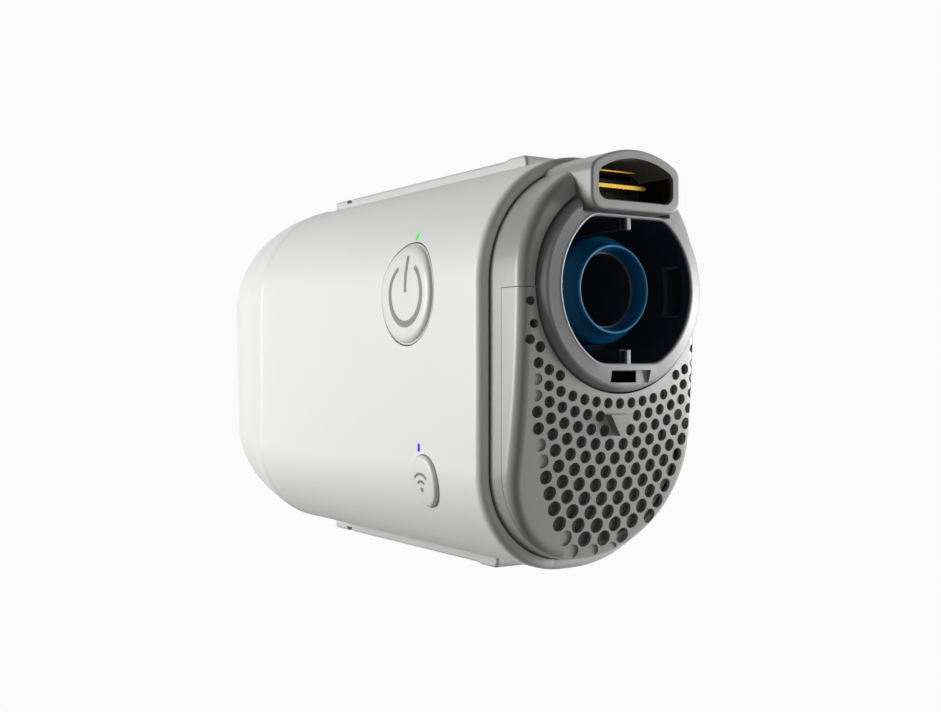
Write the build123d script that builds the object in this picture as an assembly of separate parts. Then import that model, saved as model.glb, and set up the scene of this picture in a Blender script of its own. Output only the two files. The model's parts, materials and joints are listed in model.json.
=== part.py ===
from build123d import *
import os
from math import cos, radians, sin, sqrt, tan

# Compact travel CPAP machine, lying on its base. Millimetres.
# +X points to the air outlet end, +Y to the side of the power inlet, +Z out of the button face.
# The origin is at table height, under the middle of the machine's length.

os.makedirs("parts", exist_ok=True)

# ---------------------------------------------------------------- overall sizes
body_length = 136.0
body_height = 52.0
rail_span = 84.0
rail_proud_inlet = 3.2
rail_proud_plain = 4.3
half_width_inlet = rail_span / 2 - rail_proud_inlet
half_width_plain = rail_span / 2 - rail_proud_plain
wall = 2.0
foot_height = 1.0

# ---------------------------------------------------------------- casing form
turn_face_inlet = 0.46 * body_height
turn_face_plain = 0.36 * body_height
turn_base_inlet = 0.385 * body_height
turn_base_plain = 0.52 * body_height
end_turn_inlet = 24.5
end_turn_plain = 28.0
end_turn_face = 14.0
end_turn_base = 12.0
end_corner = 8.0
end_lean = 3.4
nose_turn = 20.0
nose_reach = 11.3
parting_height = body_height - 16.6
seam_gap = 0.2
rim_turn = 1.7

# ---------------------------------------------------------------- stations along the length
hood_reach = 14.2
crest_set_back = 3.4
collar_set_back = 2.0
rim_x = body_length / 2
far_x = -body_length / 2
seam_x = rim_x - hood_reach
crest_x = rim_x - crest_set_back
collar_x = rim_x - collar_set_back

# ---------------------------------------------------------------- air outlet
outlet_y = half_width_inlet - 25.1
outlet_z = body_height - 24.0
opening_radius = 15.0
opening_flat_plain = 13.6
opening_flat_inlet = 12.6
collar_radius = 19.0
collar_face_radius = 18.2
collar_lip = 1.8
collar_turn = 1.0
liner_wall = 0.8
liner_side_wall = 1.4
liner_depth = 20.2
liner_back = 1.6
key_width = 1.5
key_height = 2.1
latch_pocket_width = 9.6
latch_pocket_length = 4.7
latch_pocket_depth = 0.8
latch_slot_width = 9.1
latch_slot_height = 2.6
latch_hole_width = 6.5
latch_hole_depth = 9.0
cuff_bore_radius = 7.0
cuff_rim_radius = 7.75
cuff_flare_radius = 10.0
cuff_flange_radius = 12.5
cuff_flange = 1.6
cuff_set_back = 4.1
cuff_flare_length = 12.0
fit_gap = 0.05

# ---------------------------------------------------------------- end bezel, hood and filter cover
bezel_wall = 1.8
bezel_plug = 5.8
bezel_plate = 2.0
bezel_edge = 2.4
front_plain_inset = 2.4
front_face_inset = 2.5
front_rise = 9.2
front_turn = 0.356 * body_height
dome_radius = 180.0
cover_top = outlet_y - 0.2
cover_depth = 7.2
cover_gap = 0.12
cover_plate = 0.8
locating_gap = 0.15
rim_gap = 0.4
rim_wall = 0.8
filter_thickness = 2.0
filter_gap = 0.3
seat_plate = 1.6
collar_clearance = 0.3
hood_half_width = 10.2
hood_bottom = outlet_y + 13.4
hood_apex = half_width_inlet - 0.8
hood_shoulder = half_width_inlet - 4.0
hood_wall = 1.6
hood_corner = 2.4
hood_cavity = 12.0
insert_depth = 3.0
contact_reach = 4.5
contact_width = 12.0
contact_thickness = 0.7
contact_spacing = 2.4
pull_mark_width = 5.1
pull_mark_length = 3.9
pull_mark_height = 2.5
pull_mark_y = outlet_y - 22.5
pull_mark_z = outlet_z + 0.7

# grille holes: rows on arcs that fan out from one centre, every other row staggered
fan_y = outlet_y + 17.8
fan_first_radius = 38.4
fan_row_step = 2.47
fan_pitch = 4.0
hole_first_radius = 0.98
hole_growth = 0.047
rows_above = 5
rows_below = 11
fan_columns = 10
grille_margin_plain = 1.1
grille_margin_base = 0.6
grille_margin_face = 3.4
grille_turn_face = 20.0
grille_turn_base = 19.0
hole_margin_collar = 0.25
hole_margin_top = 1.0
dimple_depth = 0.45
last_row_columns = 1.5

# ---------------------------------------------------------------- buttons and lights
power_button_x = seam_x - 25.2
power_button_radius = 9.9
wireless_button_x = seam_x - 19.0
wireless_button_y = -21.9
wireless_button_radius = 4.9
button_gap = 0.2
power_button_proud = 0.9
wireless_button_proud = 0.8
button_cap = 3.2
button_edge = 0.75
button_stem_radius = 1.8
button_travel = 0.5
plunger_radius = 1.2
plunger_length = 1.6
plunger_proud = 0.8
switch_width = 5.0
switch_height = 2.0
power_light_x = power_button_x + 0.5
power_light_y = 24.9
wireless_light_x = wireless_button_x - 1.7
wireless_light_y = -15.7
light_slit_width = 0.85
light_slit_length = 1.6

# ---------------------------------------------------------------- rails, feet and fasteners
rail_low = 19.0
rail_high = 28.4
rail_proud = 2.2
rail_far_x = far_x + 20.0
rail_front_inlet = seam_x - 18.6
rail_front_plain = seam_x - 28.9
stop_length = 8.0
stop_ramp = 1.8
stop_rise = 0.35
stop_turn = 1.6
rail_edge = 0.7
notch_length = 2.6
notch_depth = 0.9
notch_offset = 6.0
foot_length = 12.0
foot_width = 6.0
foot_recess = 0.6
foot_far_x = far_x + 26.0
foot_near_x = seam_x - 20.0
foot_plain_y = -9.5
foot_inlet_y = 14.0
boss_radius = 3.0
screw_radius = 1.25
screw_head_radius = 2.2
screw_head = 2.0
screw_seat = outlet_z - 2.0
screw_reach = body_height - 10.5
end_boss_x = far_x + 10.0
end_boss_plain_y = -12.0
end_boss_inlet_y = 14.0
mid_boss_x = seam_x - 33.8
mid_boss_plain_y = 6.7 - half_width_plain
mid_boss_inlet_y = half_width_inlet - 9.3

# ---------------------------------------------------------------- circuit board
board_drop = 7.8
board_thickness = 1.2
board_top = body_height - board_drop
board_far_x = seam_x - 61.8
board_near_x = seam_x - 11.8
board_plain_y = 9.7 - half_width_plain
board_inlet_y = half_width_inlet - 12.8
post_radius = 2.4
post_spots = [
    (board_far_x + 4.0, board_inlet_y - 4.5),
    (board_far_x + 4.0, board_plain_y + 4.0),
    (board_near_x - 3.5, board_inlet_y - 5.0),
    (board_near_x - 3.5, board_plain_y + 14.5),
]
board_screw_radius = 0.9
board_screw_head = 1.4
board_screw_length = 5.0

# ---------------------------------------------------------------- blower
blower_x = far_x + 42.0
pipe_radius = 9.4
pipe_wall = 1.6
volute_start_radius = 20.0
volute_growth = 7.1
blower_y = outlet_y + pipe_radius - volute_start_radius - volute_growth
volute_half_height = 8.3
volute_wall = 1.6
pipe_end_x = blower_x + 28.0
eye_radius = 8.6
eye_lip = 1.4
cup_radius = 14.6
cup_wall = 1.2
cup_bottom = 5.5
bearing_radius = 4.0
bearing_width = 2.5
bearing_wall = 1.3
shaft_radius = 1.5
magnet_radius = 5.5
magnet_length = 6.0
stator_bore = 6.1
impeller_radius = 16.5
impeller_disc = 1.0
impeller_floor_gap = 1.2
hub_radius = 3.6
blade_count = 11
blade_thickness = 0.9
blade_height = 8.0
mount_wall = 1.8
mount_floor = 1.3
pad_radius = 13.5
coupling_length = 14.0
coupling_wall = 1.4
screen_x = pipe_end_x + 18.0
screen_length = 2.5
screen_hole = 1.1

# ---------------------------------------------------------------- intake
intake_far_x = pipe_end_x + 3.0
intake_plain_y = 11.2 - half_width_plain
intake_inlet_y = outlet_y - 15.7
intake_low = outlet_z - 13.5
intake_rib_reaches = (6.0, 26.0)
intake_wall = 1.5
lid_height = 6.0
lid_wall = 1.0
lid_half_width = 11.6
lid_plain_y = blower_y - lid_half_width
lid_inlet_y = blower_y + lid_half_width
lid_far_x = blower_x - lid_half_width
lid_near_x = intake_far_x + 16.0
lead_radius = 0.55
lead_pitch = 1.3


# ================================================================ shared shapes
def across(x, lean=0.0):
    """Plane across the machine at x, whose own X is the machine's Y and own Y is its Z."""
    slope = tan(radians(lean))
    return Plane(origin=(x, 0, 0), x_dir=(-slope, 1, 0), z_dir=(1, slope, 0))


def outline(plain, inlet, low, high, turns):
    """Rounded section of the casing, with a turn of its own at each corner."""
    face_inlet, face_plain, base_plain, base_inlet = turns
    edges = [
        Line((plain + base_plain, low), (inlet - base_inlet, low)),
        CenterArc((inlet - base_inlet, low + base_inlet), base_inlet, -90, 90),
        Line((inlet, low + base_inlet), (inlet, high - face_inlet)),
        CenterArc((inlet - face_inlet, high - face_inlet), face_inlet, 0, 90),
        Line((inlet - face_inlet, high), (plain + face_plain, high)),
        CenterArc((plain + face_plain, high - face_plain), face_plain, 90, 90),
        Line((plain, high - face_plain), (plain, low + base_plain)),
        CenterArc((plain + base_plain, low + base_plain), base_plain, 180, 90),
    ]
    return make_face(edges)


def casing_section(inset, low):
    """Full section of the casing, drawn in by the inset, over a floor at this height."""
    turns = [
        turn_face_inlet - inset,
        turn_face_plain - inset,
        turn_base_plain - inset,
        turn_base_inlet - inset,
    ]
    return outline(-half_width_plain + inset, half_width_inlet - inset, low + inset, body_height - inset, turns)


def turned(radius, travel):
    """How far a round turn still pulls in at this distance from where it starts."""
    left = max(radius - travel, 0.0)
    return radius - sqrt(radius**2 - left**2)


def nose_rise(x):
    """How far the floor has risen at x, near the outlet end."""
    return turned(nose_turn, nose_turn - max(x - seam_x + nose_reach, 0.0))


def far_end(inset):
    """Rounded far end of the casing, which leans a little towards the inlet side."""
    turn = end_turn_plain - inset
    steps = 8
    sections = []
    for step in range(steps + 1):
        swing = radians(90 * step / steps)
        travel = turn * (1 - cos(swing))
        share = sin(swing)
        lean = end_lean * cos(swing)
        corner = end_corner - inset
        full = (turn_face_inlet, turn_face_plain, turn_base_plain, turn_base_inlet)
        turns = [corner + (size - inset - corner) * share for size in full]
        section = outline(
            -half_width_plain + inset + turned(end_turn_plain - inset, travel),
            half_width_inlet - inset - turned(end_turn_inlet - inset, travel),
            foot_height + inset + turned(end_turn_base - inset, travel),
            body_height - inset - turned(end_turn_face - inset, travel),
            turns,
        )
        shift = (half_width_inlet - end_turn_inlet) * tan(radians(lean))
        sections.append(across(far_x + inset + travel + shift, lean) * section)
    return loft(sections)


def casing(inset):
    """Solid of the casing's outer form, drawn in by the inset."""
    far_straight = far_x + end_turn_plain
    near_straight = seam_x - nose_reach
    steps = 4
    sections = []
    for step in range(steps + 1):
        x = near_straight + nose_reach * step / steps
        sections.append(across(x) * casing_section(inset, foot_height + nose_rise(x)))
    middle = extrude(across(far_straight) * casing_section(inset, foot_height), amount=near_straight - far_straight)
    return far_end(inset) + middle + loft(sections)


def slab(x_low, x_high, y_low, y_high, z_low, z_high):
    """Block between these coordinates."""
    centre = Pos((x_low + x_high) / 2, (y_low + y_high) / 2, (z_low + z_high) / 2)
    return centre * Box(x_high - x_low, y_high - y_low, z_high - z_low)


def post(x, y, z_low, z_high, radius):
    """Upright round post."""
    return Pos(x, y, (z_low + z_high) / 2) * Cylinder(radius, z_high - z_low)


def on_outlet(sketch, x_low, x_high):
    """Shape drawn about the outlet axis, run from one x to another."""
    plane = Plane(origin=(x_low, outlet_y, outlet_z), x_dir=(0, 1, 0), z_dir=(1, 0, 0))
    return extrude(plane * sketch, amount=x_high - x_low)


def round_on_outlet(radius, x_low, x_high):
    return on_outlet(Circle(radius), x_low, x_high)


def socket_outline(side_wall, flat_wall):
    """Outline of the tube socket: a circle with two flats, grown by its walls."""
    low = -opening_flat_plain - flat_wall
    high = opening_flat_inlet + flat_wall
    width = 2 * (opening_radius + side_wall)
    return Circle(opening_radius + side_wall) & Pos(0, (low + high) / 2) * Rectangle(width, high - low)


def socket_run(side_wall, flat_wall, x_low, x_high):
    """Socket outline turned so that its flats face the machine's sides."""
    return on_outlet(Rot(0, 0, -90) * socket_outline(side_wall, flat_wall), x_low, x_high)


beyond = body_length
casing_outer = casing(0.0)
casing_inner = casing(wall)
casing_bezel = casing(wall + seam_gap)

# ================================================================ casing shell, shared by both covers
shell = casing_outer - casing_inner
rim_loop = shell.faces().sort_by(Axis.X)[-1].outer_wire().edges()
shell = fillet(rim_loop, rim_turn)

mid_bosses = [(mid_boss_x, mid_boss_plain_y), (mid_boss_x, mid_boss_inlet_y)]
end_bosses = [(end_boss_x, end_boss_plain_y), (end_boss_x, end_boss_inlet_y)]
boss_spots = mid_bosses + end_bosses

# ================================================================ top cover
top_cover = shell & slab(-beyond, beyond, -beyond, beyond, parting_height, beyond)
for x, y in boss_spots:
    boss = post(x, y, parting_height, body_height, boss_radius) & casing(wall / 2)
    top_cover += boss
    top_cover -= post(x, y, parting_height - 1, screw_reach + 0.5, screw_radius + fit_gap)
for x, y in post_spots:
    top_cover += post(x, y, board_top, body_height, post_radius) & casing(wall / 2)
    top_cover -= post(x, y, board_top - 1, board_top + board_screw_length, board_screw_radius + fit_gap)
top_cover -= post(power_button_x, outlet_y, board_top, beyond, power_button_radius + button_gap)
top_cover -= post(wireless_button_x, wireless_button_y, board_top, beyond, wireless_button_radius + button_gap)


def light_slit(x, y, grow):
    """Upright slit of a light pipe."""
    shape = SlotOverall(light_slit_length + 2 * grow, light_slit_width + 2 * grow, rotation=90)
    return Pos(x, y, board_top + 0.3) * extrude(shape, amount=body_height)


light_spots = [(power_light_x, power_light_y), (wireless_light_x, wireless_light_y)]
for x, y in light_spots:
    top_cover -= light_slit(x, y, fit_gap)

# ================================================================ base cover
base_cover = shell & slab(-beyond, beyond, -beyond, beyond, -beyond, parting_height)


def rail(side, front_x, side_y):
    """Mount rail with a stop at its front end and a notch near its far end."""
    inner = side * (side_y - 1.8)
    run = side * (rail_span / 2 - stop_rise)
    stop = side * rail_span / 2
    ramp_x = front_x - stop_length
    points = [
        (rail_far_x, inner),
        (rail_far_x, run),
        (ramp_x, run),
        (ramp_x + stop_ramp, stop),
        (front_x, stop),
        (front_x, inner),
    ]
    bar = Pos(0, 0, rail_low) * extrude(make_face(Polyline(*points, close=True)), amount=rail_high - rail_low)
    upright = bar.edges().filter_by(Axis.Z)
    bar = fillet(upright.filter_by(lambda edge: edge.center().X > front_x - 0.1 and abs(edge.center().Y) > abs(run)), stop_turn)
    outer = bar.edges().filter_by(Axis.Z, reverse=True)
    outer = outer.filter_by(lambda edge: abs(edge.center().Y) > abs(run) - stop_turn)
    bar = fillet(outer, rail_edge)
    notch_x = rail_far_x + notch_offset
    cut_low = min(stop, run - side * notch_depth) - 0.1
    cut_high = max(stop, run - side * notch_depth) + 0.1
    return bar - slab(notch_x, notch_x + notch_length, cut_low, cut_high, rail_high - 2.2, rail_high + 1)


base_cover += rail(1, rail_front_inlet, half_width_inlet)
base_cover += rail(-1, rail_front_plain, half_width_plain)
for x, y in boss_spots:
    base_cover += post(x, y, 0, parting_height, boss_radius) & casing(wall / 2)
    base_cover -= post(x, y, -1, screw_seat, screw_head_radius + fit_gap)
    base_cover -= post(x, y, -1, parting_height + 1, screw_radius + fit_gap)
mount_floor_z = foot_height + wall + 1.2
base_cover += post(blower_x, blower_y, foot_height + wall / 2, mount_floor_z, pad_radius)
for reach in intake_rib_reaches:
    x = intake_far_x + reach
    rib = slab(x, x + 1.5, intake_plain_y + 3.0, intake_inlet_y - 3.0, foot_height, intake_low)
    base_cover += rib & casing(wall / 2)

foot_spots = [(x, y) for x in (foot_far_x, foot_near_x) for y in (foot_plain_y, foot_inlet_y)]


def foot_shape(grow, z_low, z_high):
    shape = SlotOverall(foot_length + 2 * grow, foot_width + 2 * grow)
    return [Pos(x, y, z_low) * extrude(shape, amount=z_high - z_low) for x, y in foot_spots]


for pocket in foot_shape(fit_gap, -1, foot_height + foot_recess):
    base_cover -= pocket
base_feet = Compound(children=[foot for foot in foot_shape(0, 0, foot_height + foot_recess)])

# ================================================================ case screws and board screws
case_screw_list = []
for x, y in boss_spots:
    head = post(x, y, screw_seat - screw_head, screw_seat, screw_head_radius)
    case_screw_list.append(head + post(x, y, screw_seat, screw_reach, screw_radius))
case_screws = Compound(children=case_screw_list)

board_bottom = board_top - board_thickness
board_screw_list = []
for x, y in post_spots:
    head = post(x, y, board_bottom - board_screw_head, board_bottom, 2 * board_screw_radius)
    shank = post(x, y, board_bottom, board_bottom + board_screw_length, board_screw_radius)
    board_screw_list.append(head + shank)
board_screws = Compound(children=board_screw_list)

# ================================================================ end bezel
front_low = foot_height + front_rise
front_turns = [front_turn + 2.0, front_turn, front_turn + 1.5, front_turn]


def front_section(inset):
    """Section of the bezel and filter cover at the front face."""
    return outline(
        -half_width_plain + front_plain_inset + inset,
        half_width_inlet - front_face_inset - inset,
        front_low + inset,
        body_height - front_face_inset - inset,
        [turn - inset for turn in front_turns],
    )


def bezel_block(inset):
    """Solid between the seam and the front face."""
    seam_section = casing_section(wall + seam_gap + inset, foot_height + nose_rise(seam_x))
    return loft([across(seam_x) * seam_section, across(crest_x + 0.5) * front_section(inset)], ruled=True)


def front_dome(depth):
    """Ball whose surface is the shallow dome of the front, drawn in by this depth."""
    centre = Pos(crest_x - dome_radius, outlet_y, outlet_z) * Rot(0, 0, 180)
    return centre * Sphere(dome_radius - depth)


def dome_drop(y):
    """How far the dome has fallen back from its crest at this y, below the outlet axis."""
    return dome_radius - sqrt(dome_radius**2 - (outlet_y - y) ** 2)


bezel_full = bezel_block(0.0) & front_dome(0.0)
face_loop = bezel_full.faces().sort_by(Axis.X)[-1].outer_wire().edges()
bezel_full = fillet(face_loop, bezel_edge)
bezel_hollow = bezel_block(bezel_wall)

plug_outer = casing_bezel & slab(seam_x - bezel_plug, seam_x, -beyond, beyond, -beyond, beyond)
plug_inner = casing(wall + seam_gap + bezel_wall)

split_x = crest_x - cover_depth
pad_inset = bezel_wall + locating_gap + rim_wall + 0.1
pad_low_y = -half_width_plain + front_plain_inset + pad_inset
seat_x = crest_x - dome_drop(pad_low_y) - cover_plate - filter_thickness - filter_gap
below_top = slab(-beyond, beyond, -beyond, cover_top, -beyond, beyond)
above_top = slab(-beyond, beyond, cover_top, beyond, -beyond, beyond)

upper_hollow = bezel_hollow & slab(-beyond, beyond, cover_top + seat_plate, beyond, -beyond, beyond)
upper_hollow = upper_hollow & front_dome(bezel_plate)
lower_hollow = bezel_hollow & slab(-beyond, seat_x - seat_plate, -beyond, cover_top + seat_plate + 0.1, -beyond, beyond)
filter_pocket = bezel_hollow & slab(seat_x, beyond, -beyond, cover_top, -beyond, beyond)
cover_place = slab(split_x - cover_gap, beyond, -beyond, cover_top, -beyond, beyond)

end_bezel = bezel_full + plug_outer
end_bezel -= plug_inner & slab(-beyond, seam_x, -beyond, beyond, -beyond, beyond)
end_bezel -= upper_hollow
end_bezel -= lower_hollow
end_bezel -= filter_pocket
end_bezel -= cover_place
end_bezel -= round_on_outlet(collar_radius + fit_gap, seam_x - bezel_plug - 1, beyond)

window_low = foot_height + front_rise + 7.0
window_high = body_height - 12.0
window = slab(seat_x - seat_plate - 1, seat_x + 1, intake_plain_y + 2.0, intake_inlet_y - 6.0, window_low, window_high)
for z in (window_low + 7.0, window_low + 15.0):
    window -= slab(seat_x - 5, seat_x + 5, -beyond, beyond, z, z + 1.5)
end_bezel -= window


def hood_outline(inset):
    """Section of the power inlet hood: flat below, arched above."""
    half = hood_half_width - inset
    low = hood_bottom + inset
    side_top = hood_shoulder - inset * 0.6
    apex = hood_apex - inset
    base = Polyline((side_top, outlet_z + half), (low, outlet_z + half), (low, outlet_z - half), (side_top, outlet_z - half))
    arch = ThreePointArc((side_top, outlet_z + half), (apex, outlet_z), (side_top, outlet_z - half))
    face = make_face([*base.edges(), arch])
    return fillet(face.vertices(), hood_corner - inset * 0.3)


hood_far_x = seam_x + seam_gap
hood = extrude(across(hood_far_x) * hood_outline(0), amount=rim_x - hood_far_x)
hood = fillet(hood.faces().sort_by(Axis.X)[-1].outer_wire().edges(), 0.5)
end_bezel += hood
cavity_x = rim_x - hood_cavity
end_bezel -= extrude(across(cavity_x) * hood_outline(hood_wall), amount=hood_cavity + 1)

contact_low_y = hood_bottom + 4.9
contact_ys = [contact_low_y, contact_low_y + contact_spacing]
insert_x = cavity_x + insert_depth
contact_tip_x = rim_x - contact_reach
contact_root_x = seam_x - 4.0
half_contact = contact_width / 2


def contact_blade(y, grow):
    return slab(
        contact_root_x - grow,
        contact_tip_x,
        y - contact_thickness / 2 - grow,
        y + contact_thickness / 2 + grow,
        outlet_z - half_contact - grow,
        outlet_z + half_contact + grow,
    )


inlet_insert = extrude(across(cavity_x) * hood_outline(hood_wall + fit_gap), amount=insert_depth)
for y in contact_ys:
    inlet_insert -= contact_blade(y, fit_gap)
    end_bezel -= contact_blade(y, 0.2)
inlet_contacts = Compound(children=[contact_blade(y, 0) for y in contact_ys])

# ================================================================ filter cover and filter
cover_blank = bezel_full & slab(split_x, beyond, -beyond, cover_top - cover_gap, -beyond, beyond)
cover_blank -= round_on_outlet(collar_radius + collar_clearance, seam_x, beyond)
cover_skirt = 1.6
below_skirt = slab(-beyond, beyond, -beyond, cover_top - cover_skirt, -beyond, beyond)
under_plate = front_dome(cover_plate)
skirt_hollow = bezel_block(cover_skirt) & below_skirt & under_plate
filter_cover = cover_blank - skirt_hollow
rim_far_x = seat_x + rim_gap
rim_length = crest_x - rim_far_x
rim_outer = extrude(across(rim_far_x) * front_section(bezel_wall + locating_gap), amount=rim_length)
rim_inner = extrude(across(rim_far_x - 1) * front_section(bezel_wall + locating_gap + rim_wall), amount=rim_length + 2)
collar_cut = round_on_outlet(collar_radius + collar_clearance, seam_x, beyond)
filter_cover += (rim_outer - rim_inner - collar_cut) & below_skirt & front_dome(cover_plate / 2)

grille_zone = outline(
    -half_width_plain + front_plain_inset + grille_margin_plain,
    half_width_inlet,
    front_low + grille_margin_base,
    body_height - front_face_inset - grille_margin_face,
    [grille_turn_base, grille_turn_face, grille_turn_base, grille_turn_base],
)


def fan_holes(first_row, last_row, columns):
    """Centre, radius, row and column of the grille holes on these rows."""
    holes = []
    for row in range(first_row, last_row + 1):
        radius = fan_first_radius + fan_row_step * row
        shift = 0.5 if row % 2 else 0.0
        for step in range(-columns, columns + 1):
            column = step + shift
            angle = radians(fan_pitch * column)
            size = hole_first_radius + hole_growth * max(row, 0)
            spot = (fan_y - radius * cos(angle), outlet_z - radius * sin(angle))
            holes.append((spot, size, (row, column)))
    return holes


def in_grille(spot, size):
    """True where a hole lies on the cover, clear of the collar, the top and the sides."""
    off_collar = sqrt((spot[0] - outlet_y) ** 2 + (spot[1] - outlet_z) ** 2) - size - hole_margin_collar
    low_enough = spot[0] < cover_top - size - hole_margin_top
    inside = grille_zone.distance_to(Vertex(*spot, 0)) < 1e-6
    return off_collar > collar_radius + collar_clearance and low_enough and inside


# the snaps behind the face side and the frame at the bottom corners close these holes
closed_holes = [(0, -7), (1, -6.5), (4, -5), (5, -4.5), (10, -2), (10, 2)]
holes_under_mark = [(1, -0.5), (1, 0.5), (2, 0)]
open_circles = []
closed_circles = []
for spot, size, place in fan_holes(-rows_above, rows_below - 1, fan_columns):
    if in_grille(spot, size) and place not in holes_under_mark:
        circles = closed_circles if place in closed_holes else open_circles
        circles.append(Pos(*spot) * Circle(size))
for spot, size, place in fan_holes(rows_below, rows_below, fan_columns):
    if abs(place[1]) <= last_row_columns:
        closed_circles.append(Pos(*spot) * Circle(size))
drill_x = split_x - 1.0
drill_length = crest_x - drill_x + 1.0
filter_cover -= extrude(across(drill_x) * Sketch(children=open_circles), amount=drill_length) - front_dome(cover_plate + 0.3)
filter_cover -= extrude(across(drill_x) * Sketch(children=closed_circles), amount=drill_length) - front_dome(dimple_depth)

mark_points = [
    (pull_mark_y, pull_mark_z - pull_mark_width / 2),
    (pull_mark_y, pull_mark_z + pull_mark_width / 2),
    (pull_mark_y - pull_mark_length, pull_mark_z),
]
mark_face = make_face(Polyline(*mark_points, close=True))
pull_mark = extrude(across(split_x) * mark_face, amount=crest_x + pull_mark_height - split_x)
filter_cover += (pull_mark & front_dome(-pull_mark_height)) - front_dome(cover_plate / 2)

pad_far_x = seat_x + filter_gap
air_filter = extrude(across(pad_far_x) * front_section(pad_inset), amount=crest_x - pad_far_x)
air_filter = air_filter & front_dome(cover_plate)
air_filter -= front_dome(cover_plate + filter_thickness)
air_filter = air_filter & slab(pad_far_x, beyond, -beyond, cover_top - 2.0, -beyond, beyond)
air_filter -= round_on_outlet(collar_radius + collar_clearance + 0.1, seam_x - 5, beyond)

# ================================================================ tube collar
collar_far_x = seat_x - seat_plate
collar_turn_x = collar_x - 2.6
collar_profile = make_face(
    Polyline(
        (collar_far_x, 0),
        (collar_far_x, collar_radius),
        (collar_turn_x, collar_radius),
        (collar_x, collar_face_radius),
        (collar_x, 0),
        close=True,
    )
)
collar_profile = fillet(collar_profile.vertices().group_by(Axis.X)[-1].sort_by(Axis.Y)[-1], collar_turn)
tube_collar = Pos(0, outlet_y, outlet_z) * revolve(collar_profile, Axis.X)
tube_collar -= socket_run(0, 0, collar_far_x - 1, collar_x + 1)
liner_near_x = collar_x - collar_lip
tube_collar -= socket_run(liner_side_wall + fit_gap, liner_wall + fit_gap, collar_far_x - 1, liner_near_x)
hood_clear = hood_half_width + 0.1
tube_collar -= slab(collar_far_x - 1, beyond, hood_bottom - 0.1, beyond, outlet_z - hood_clear, outlet_z + hood_clear)
slot_high = outlet_y - opening_flat_plain - 1.0
slot_far_z = outlet_z - 5.1
slot_recess = slab(collar_x - 1.0, collar_x + 1, slot_high - latch_slot_height, slot_high, slot_far_z, slot_far_z + latch_slot_width)
hole_low_z = slot_far_z + latch_slot_width - latch_hole_width
slot_hole = slab(collar_x - latch_hole_depth, collar_x, slot_high - latch_slot_height, slot_high, hole_low_z, hole_low_z + latch_hole_width)
tube_collar -= slot_recess
tube_collar -= slot_hole

# ================================================================ socket liner
liner_far_x = liner_near_x - liner_depth
socket_liner = socket_run(liner_side_wall, liner_wall, liner_far_x, liner_near_x)
socket_liner -= socket_run(0, 0, liner_far_x + liner_back, liner_near_x + 1)
cuff_spigot_radius = cuff_bore_radius + 1.2
socket_liner -= round_on_outlet(cuff_spigot_radius + fit_gap, liner_far_x - 1, liner_near_x)
key_end_x = collar_x - 1.0
flat_low_y = outlet_y - opening_flat_plain
flat_high_y = outlet_y + opening_flat_inlet
half_key = key_width / 2
key_root = 0.4
key_far_x = liner_far_x + liner_back + cuff_flange + 0.3
for low, high in (
    (flat_low_y - key_root, flat_low_y + key_height + 0.5),
    (flat_high_y - key_height, flat_high_y + key_root),
):
    socket_liner += slab(key_far_x, liner_near_x, low, high, outlet_z - half_key, outlet_z + half_key)
pocket_near_x = collar_x - 2.8
pocket_half = latch_pocket_width / 2
pocket_low_z = outlet_z - opening_radius - latch_pocket_depth
socket_liner -= slab(
    pocket_near_x - latch_pocket_length,
    pocket_near_x,
    outlet_y - pocket_half,
    outlet_y + pocket_half,
    pocket_low_z,
    outlet_z - opening_radius + 2.0,
)

# ================================================================ outlet cuff
cuff_near_x = collar_x - cuff_set_back
cuff_floor_x = liner_far_x + liner_back
cuff_flare_x = cuff_near_x - cuff_flare_length
cuff_lines = Polyline(
    (cuff_near_x, cuff_bore_radius),
    (liner_far_x, cuff_bore_radius),
    (liner_far_x, cuff_spigot_radius),
    (cuff_floor_x, cuff_spigot_radius),
    (cuff_floor_x, cuff_flange_radius),
    (cuff_floor_x + cuff_flange, cuff_flange_radius),
    (cuff_floor_x + cuff_flange, cuff_flare_radius),
    (cuff_flare_x, cuff_flare_radius),
)
cuff_flare = Spline(
    (cuff_flare_x, cuff_flare_radius),
    (cuff_near_x - 1.0, cuff_rim_radius + 0.12),
    tangents=[(1, 0), (1, -0.12)],
)
cuff_rim = Line((cuff_near_x - 1.0, cuff_rim_radius + 0.12), (cuff_near_x, cuff_rim_radius))
cuff_tip = Line((cuff_near_x, cuff_rim_radius), (cuff_near_x, cuff_bore_radius))
cuff_face = make_face([*cuff_lines.edges(), cuff_flare, cuff_rim, cuff_tip])
outlet_cuff = Pos(0, outlet_y, outlet_z) * revolve(cuff_face, Axis.X)

# ================================================================ outlet duct, coupling and flow screen
duct_bore = pipe_radius - pipe_wall
outlet_duct = round_on_outlet(pipe_radius, pipe_end_x, liner_far_x)
outlet_duct += round_on_outlet(cuff_flange_radius, liner_far_x - pipe_wall, liner_far_x)
outlet_duct -= round_on_outlet(duct_bore, pipe_end_x - 1, liner_far_x + 1)
coupling_low = pipe_end_x - coupling_length / 2
coupling_high = pipe_end_x + coupling_length / 2
blower_coupling = round_on_outlet(pipe_radius + fit_gap + coupling_wall, coupling_low, coupling_high)
blower_coupling -= round_on_outlet(pipe_radius + fit_gap, coupling_low - 1, coupling_high + 1)
screen_holes = Sketch() + Circle(screen_hole)
for ring, count in ((2.9, 6), (5.6, 12)):
    for index in range(count):
        screen_holes += Rot(0, 0, 360 / count * index) * Pos(ring, 0) * Circle(screen_hole)
screen_plane = Plane(origin=(screen_x, outlet_y, outlet_z), x_dir=(0, 1, 0), z_dir=(1, 0, 0))
flow_screen = round_on_outlet(duct_bore - fit_gap, screen_x, screen_x + screen_length)
flow_screen -= extrude(screen_plane * screen_holes, amount=screen_length)


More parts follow.
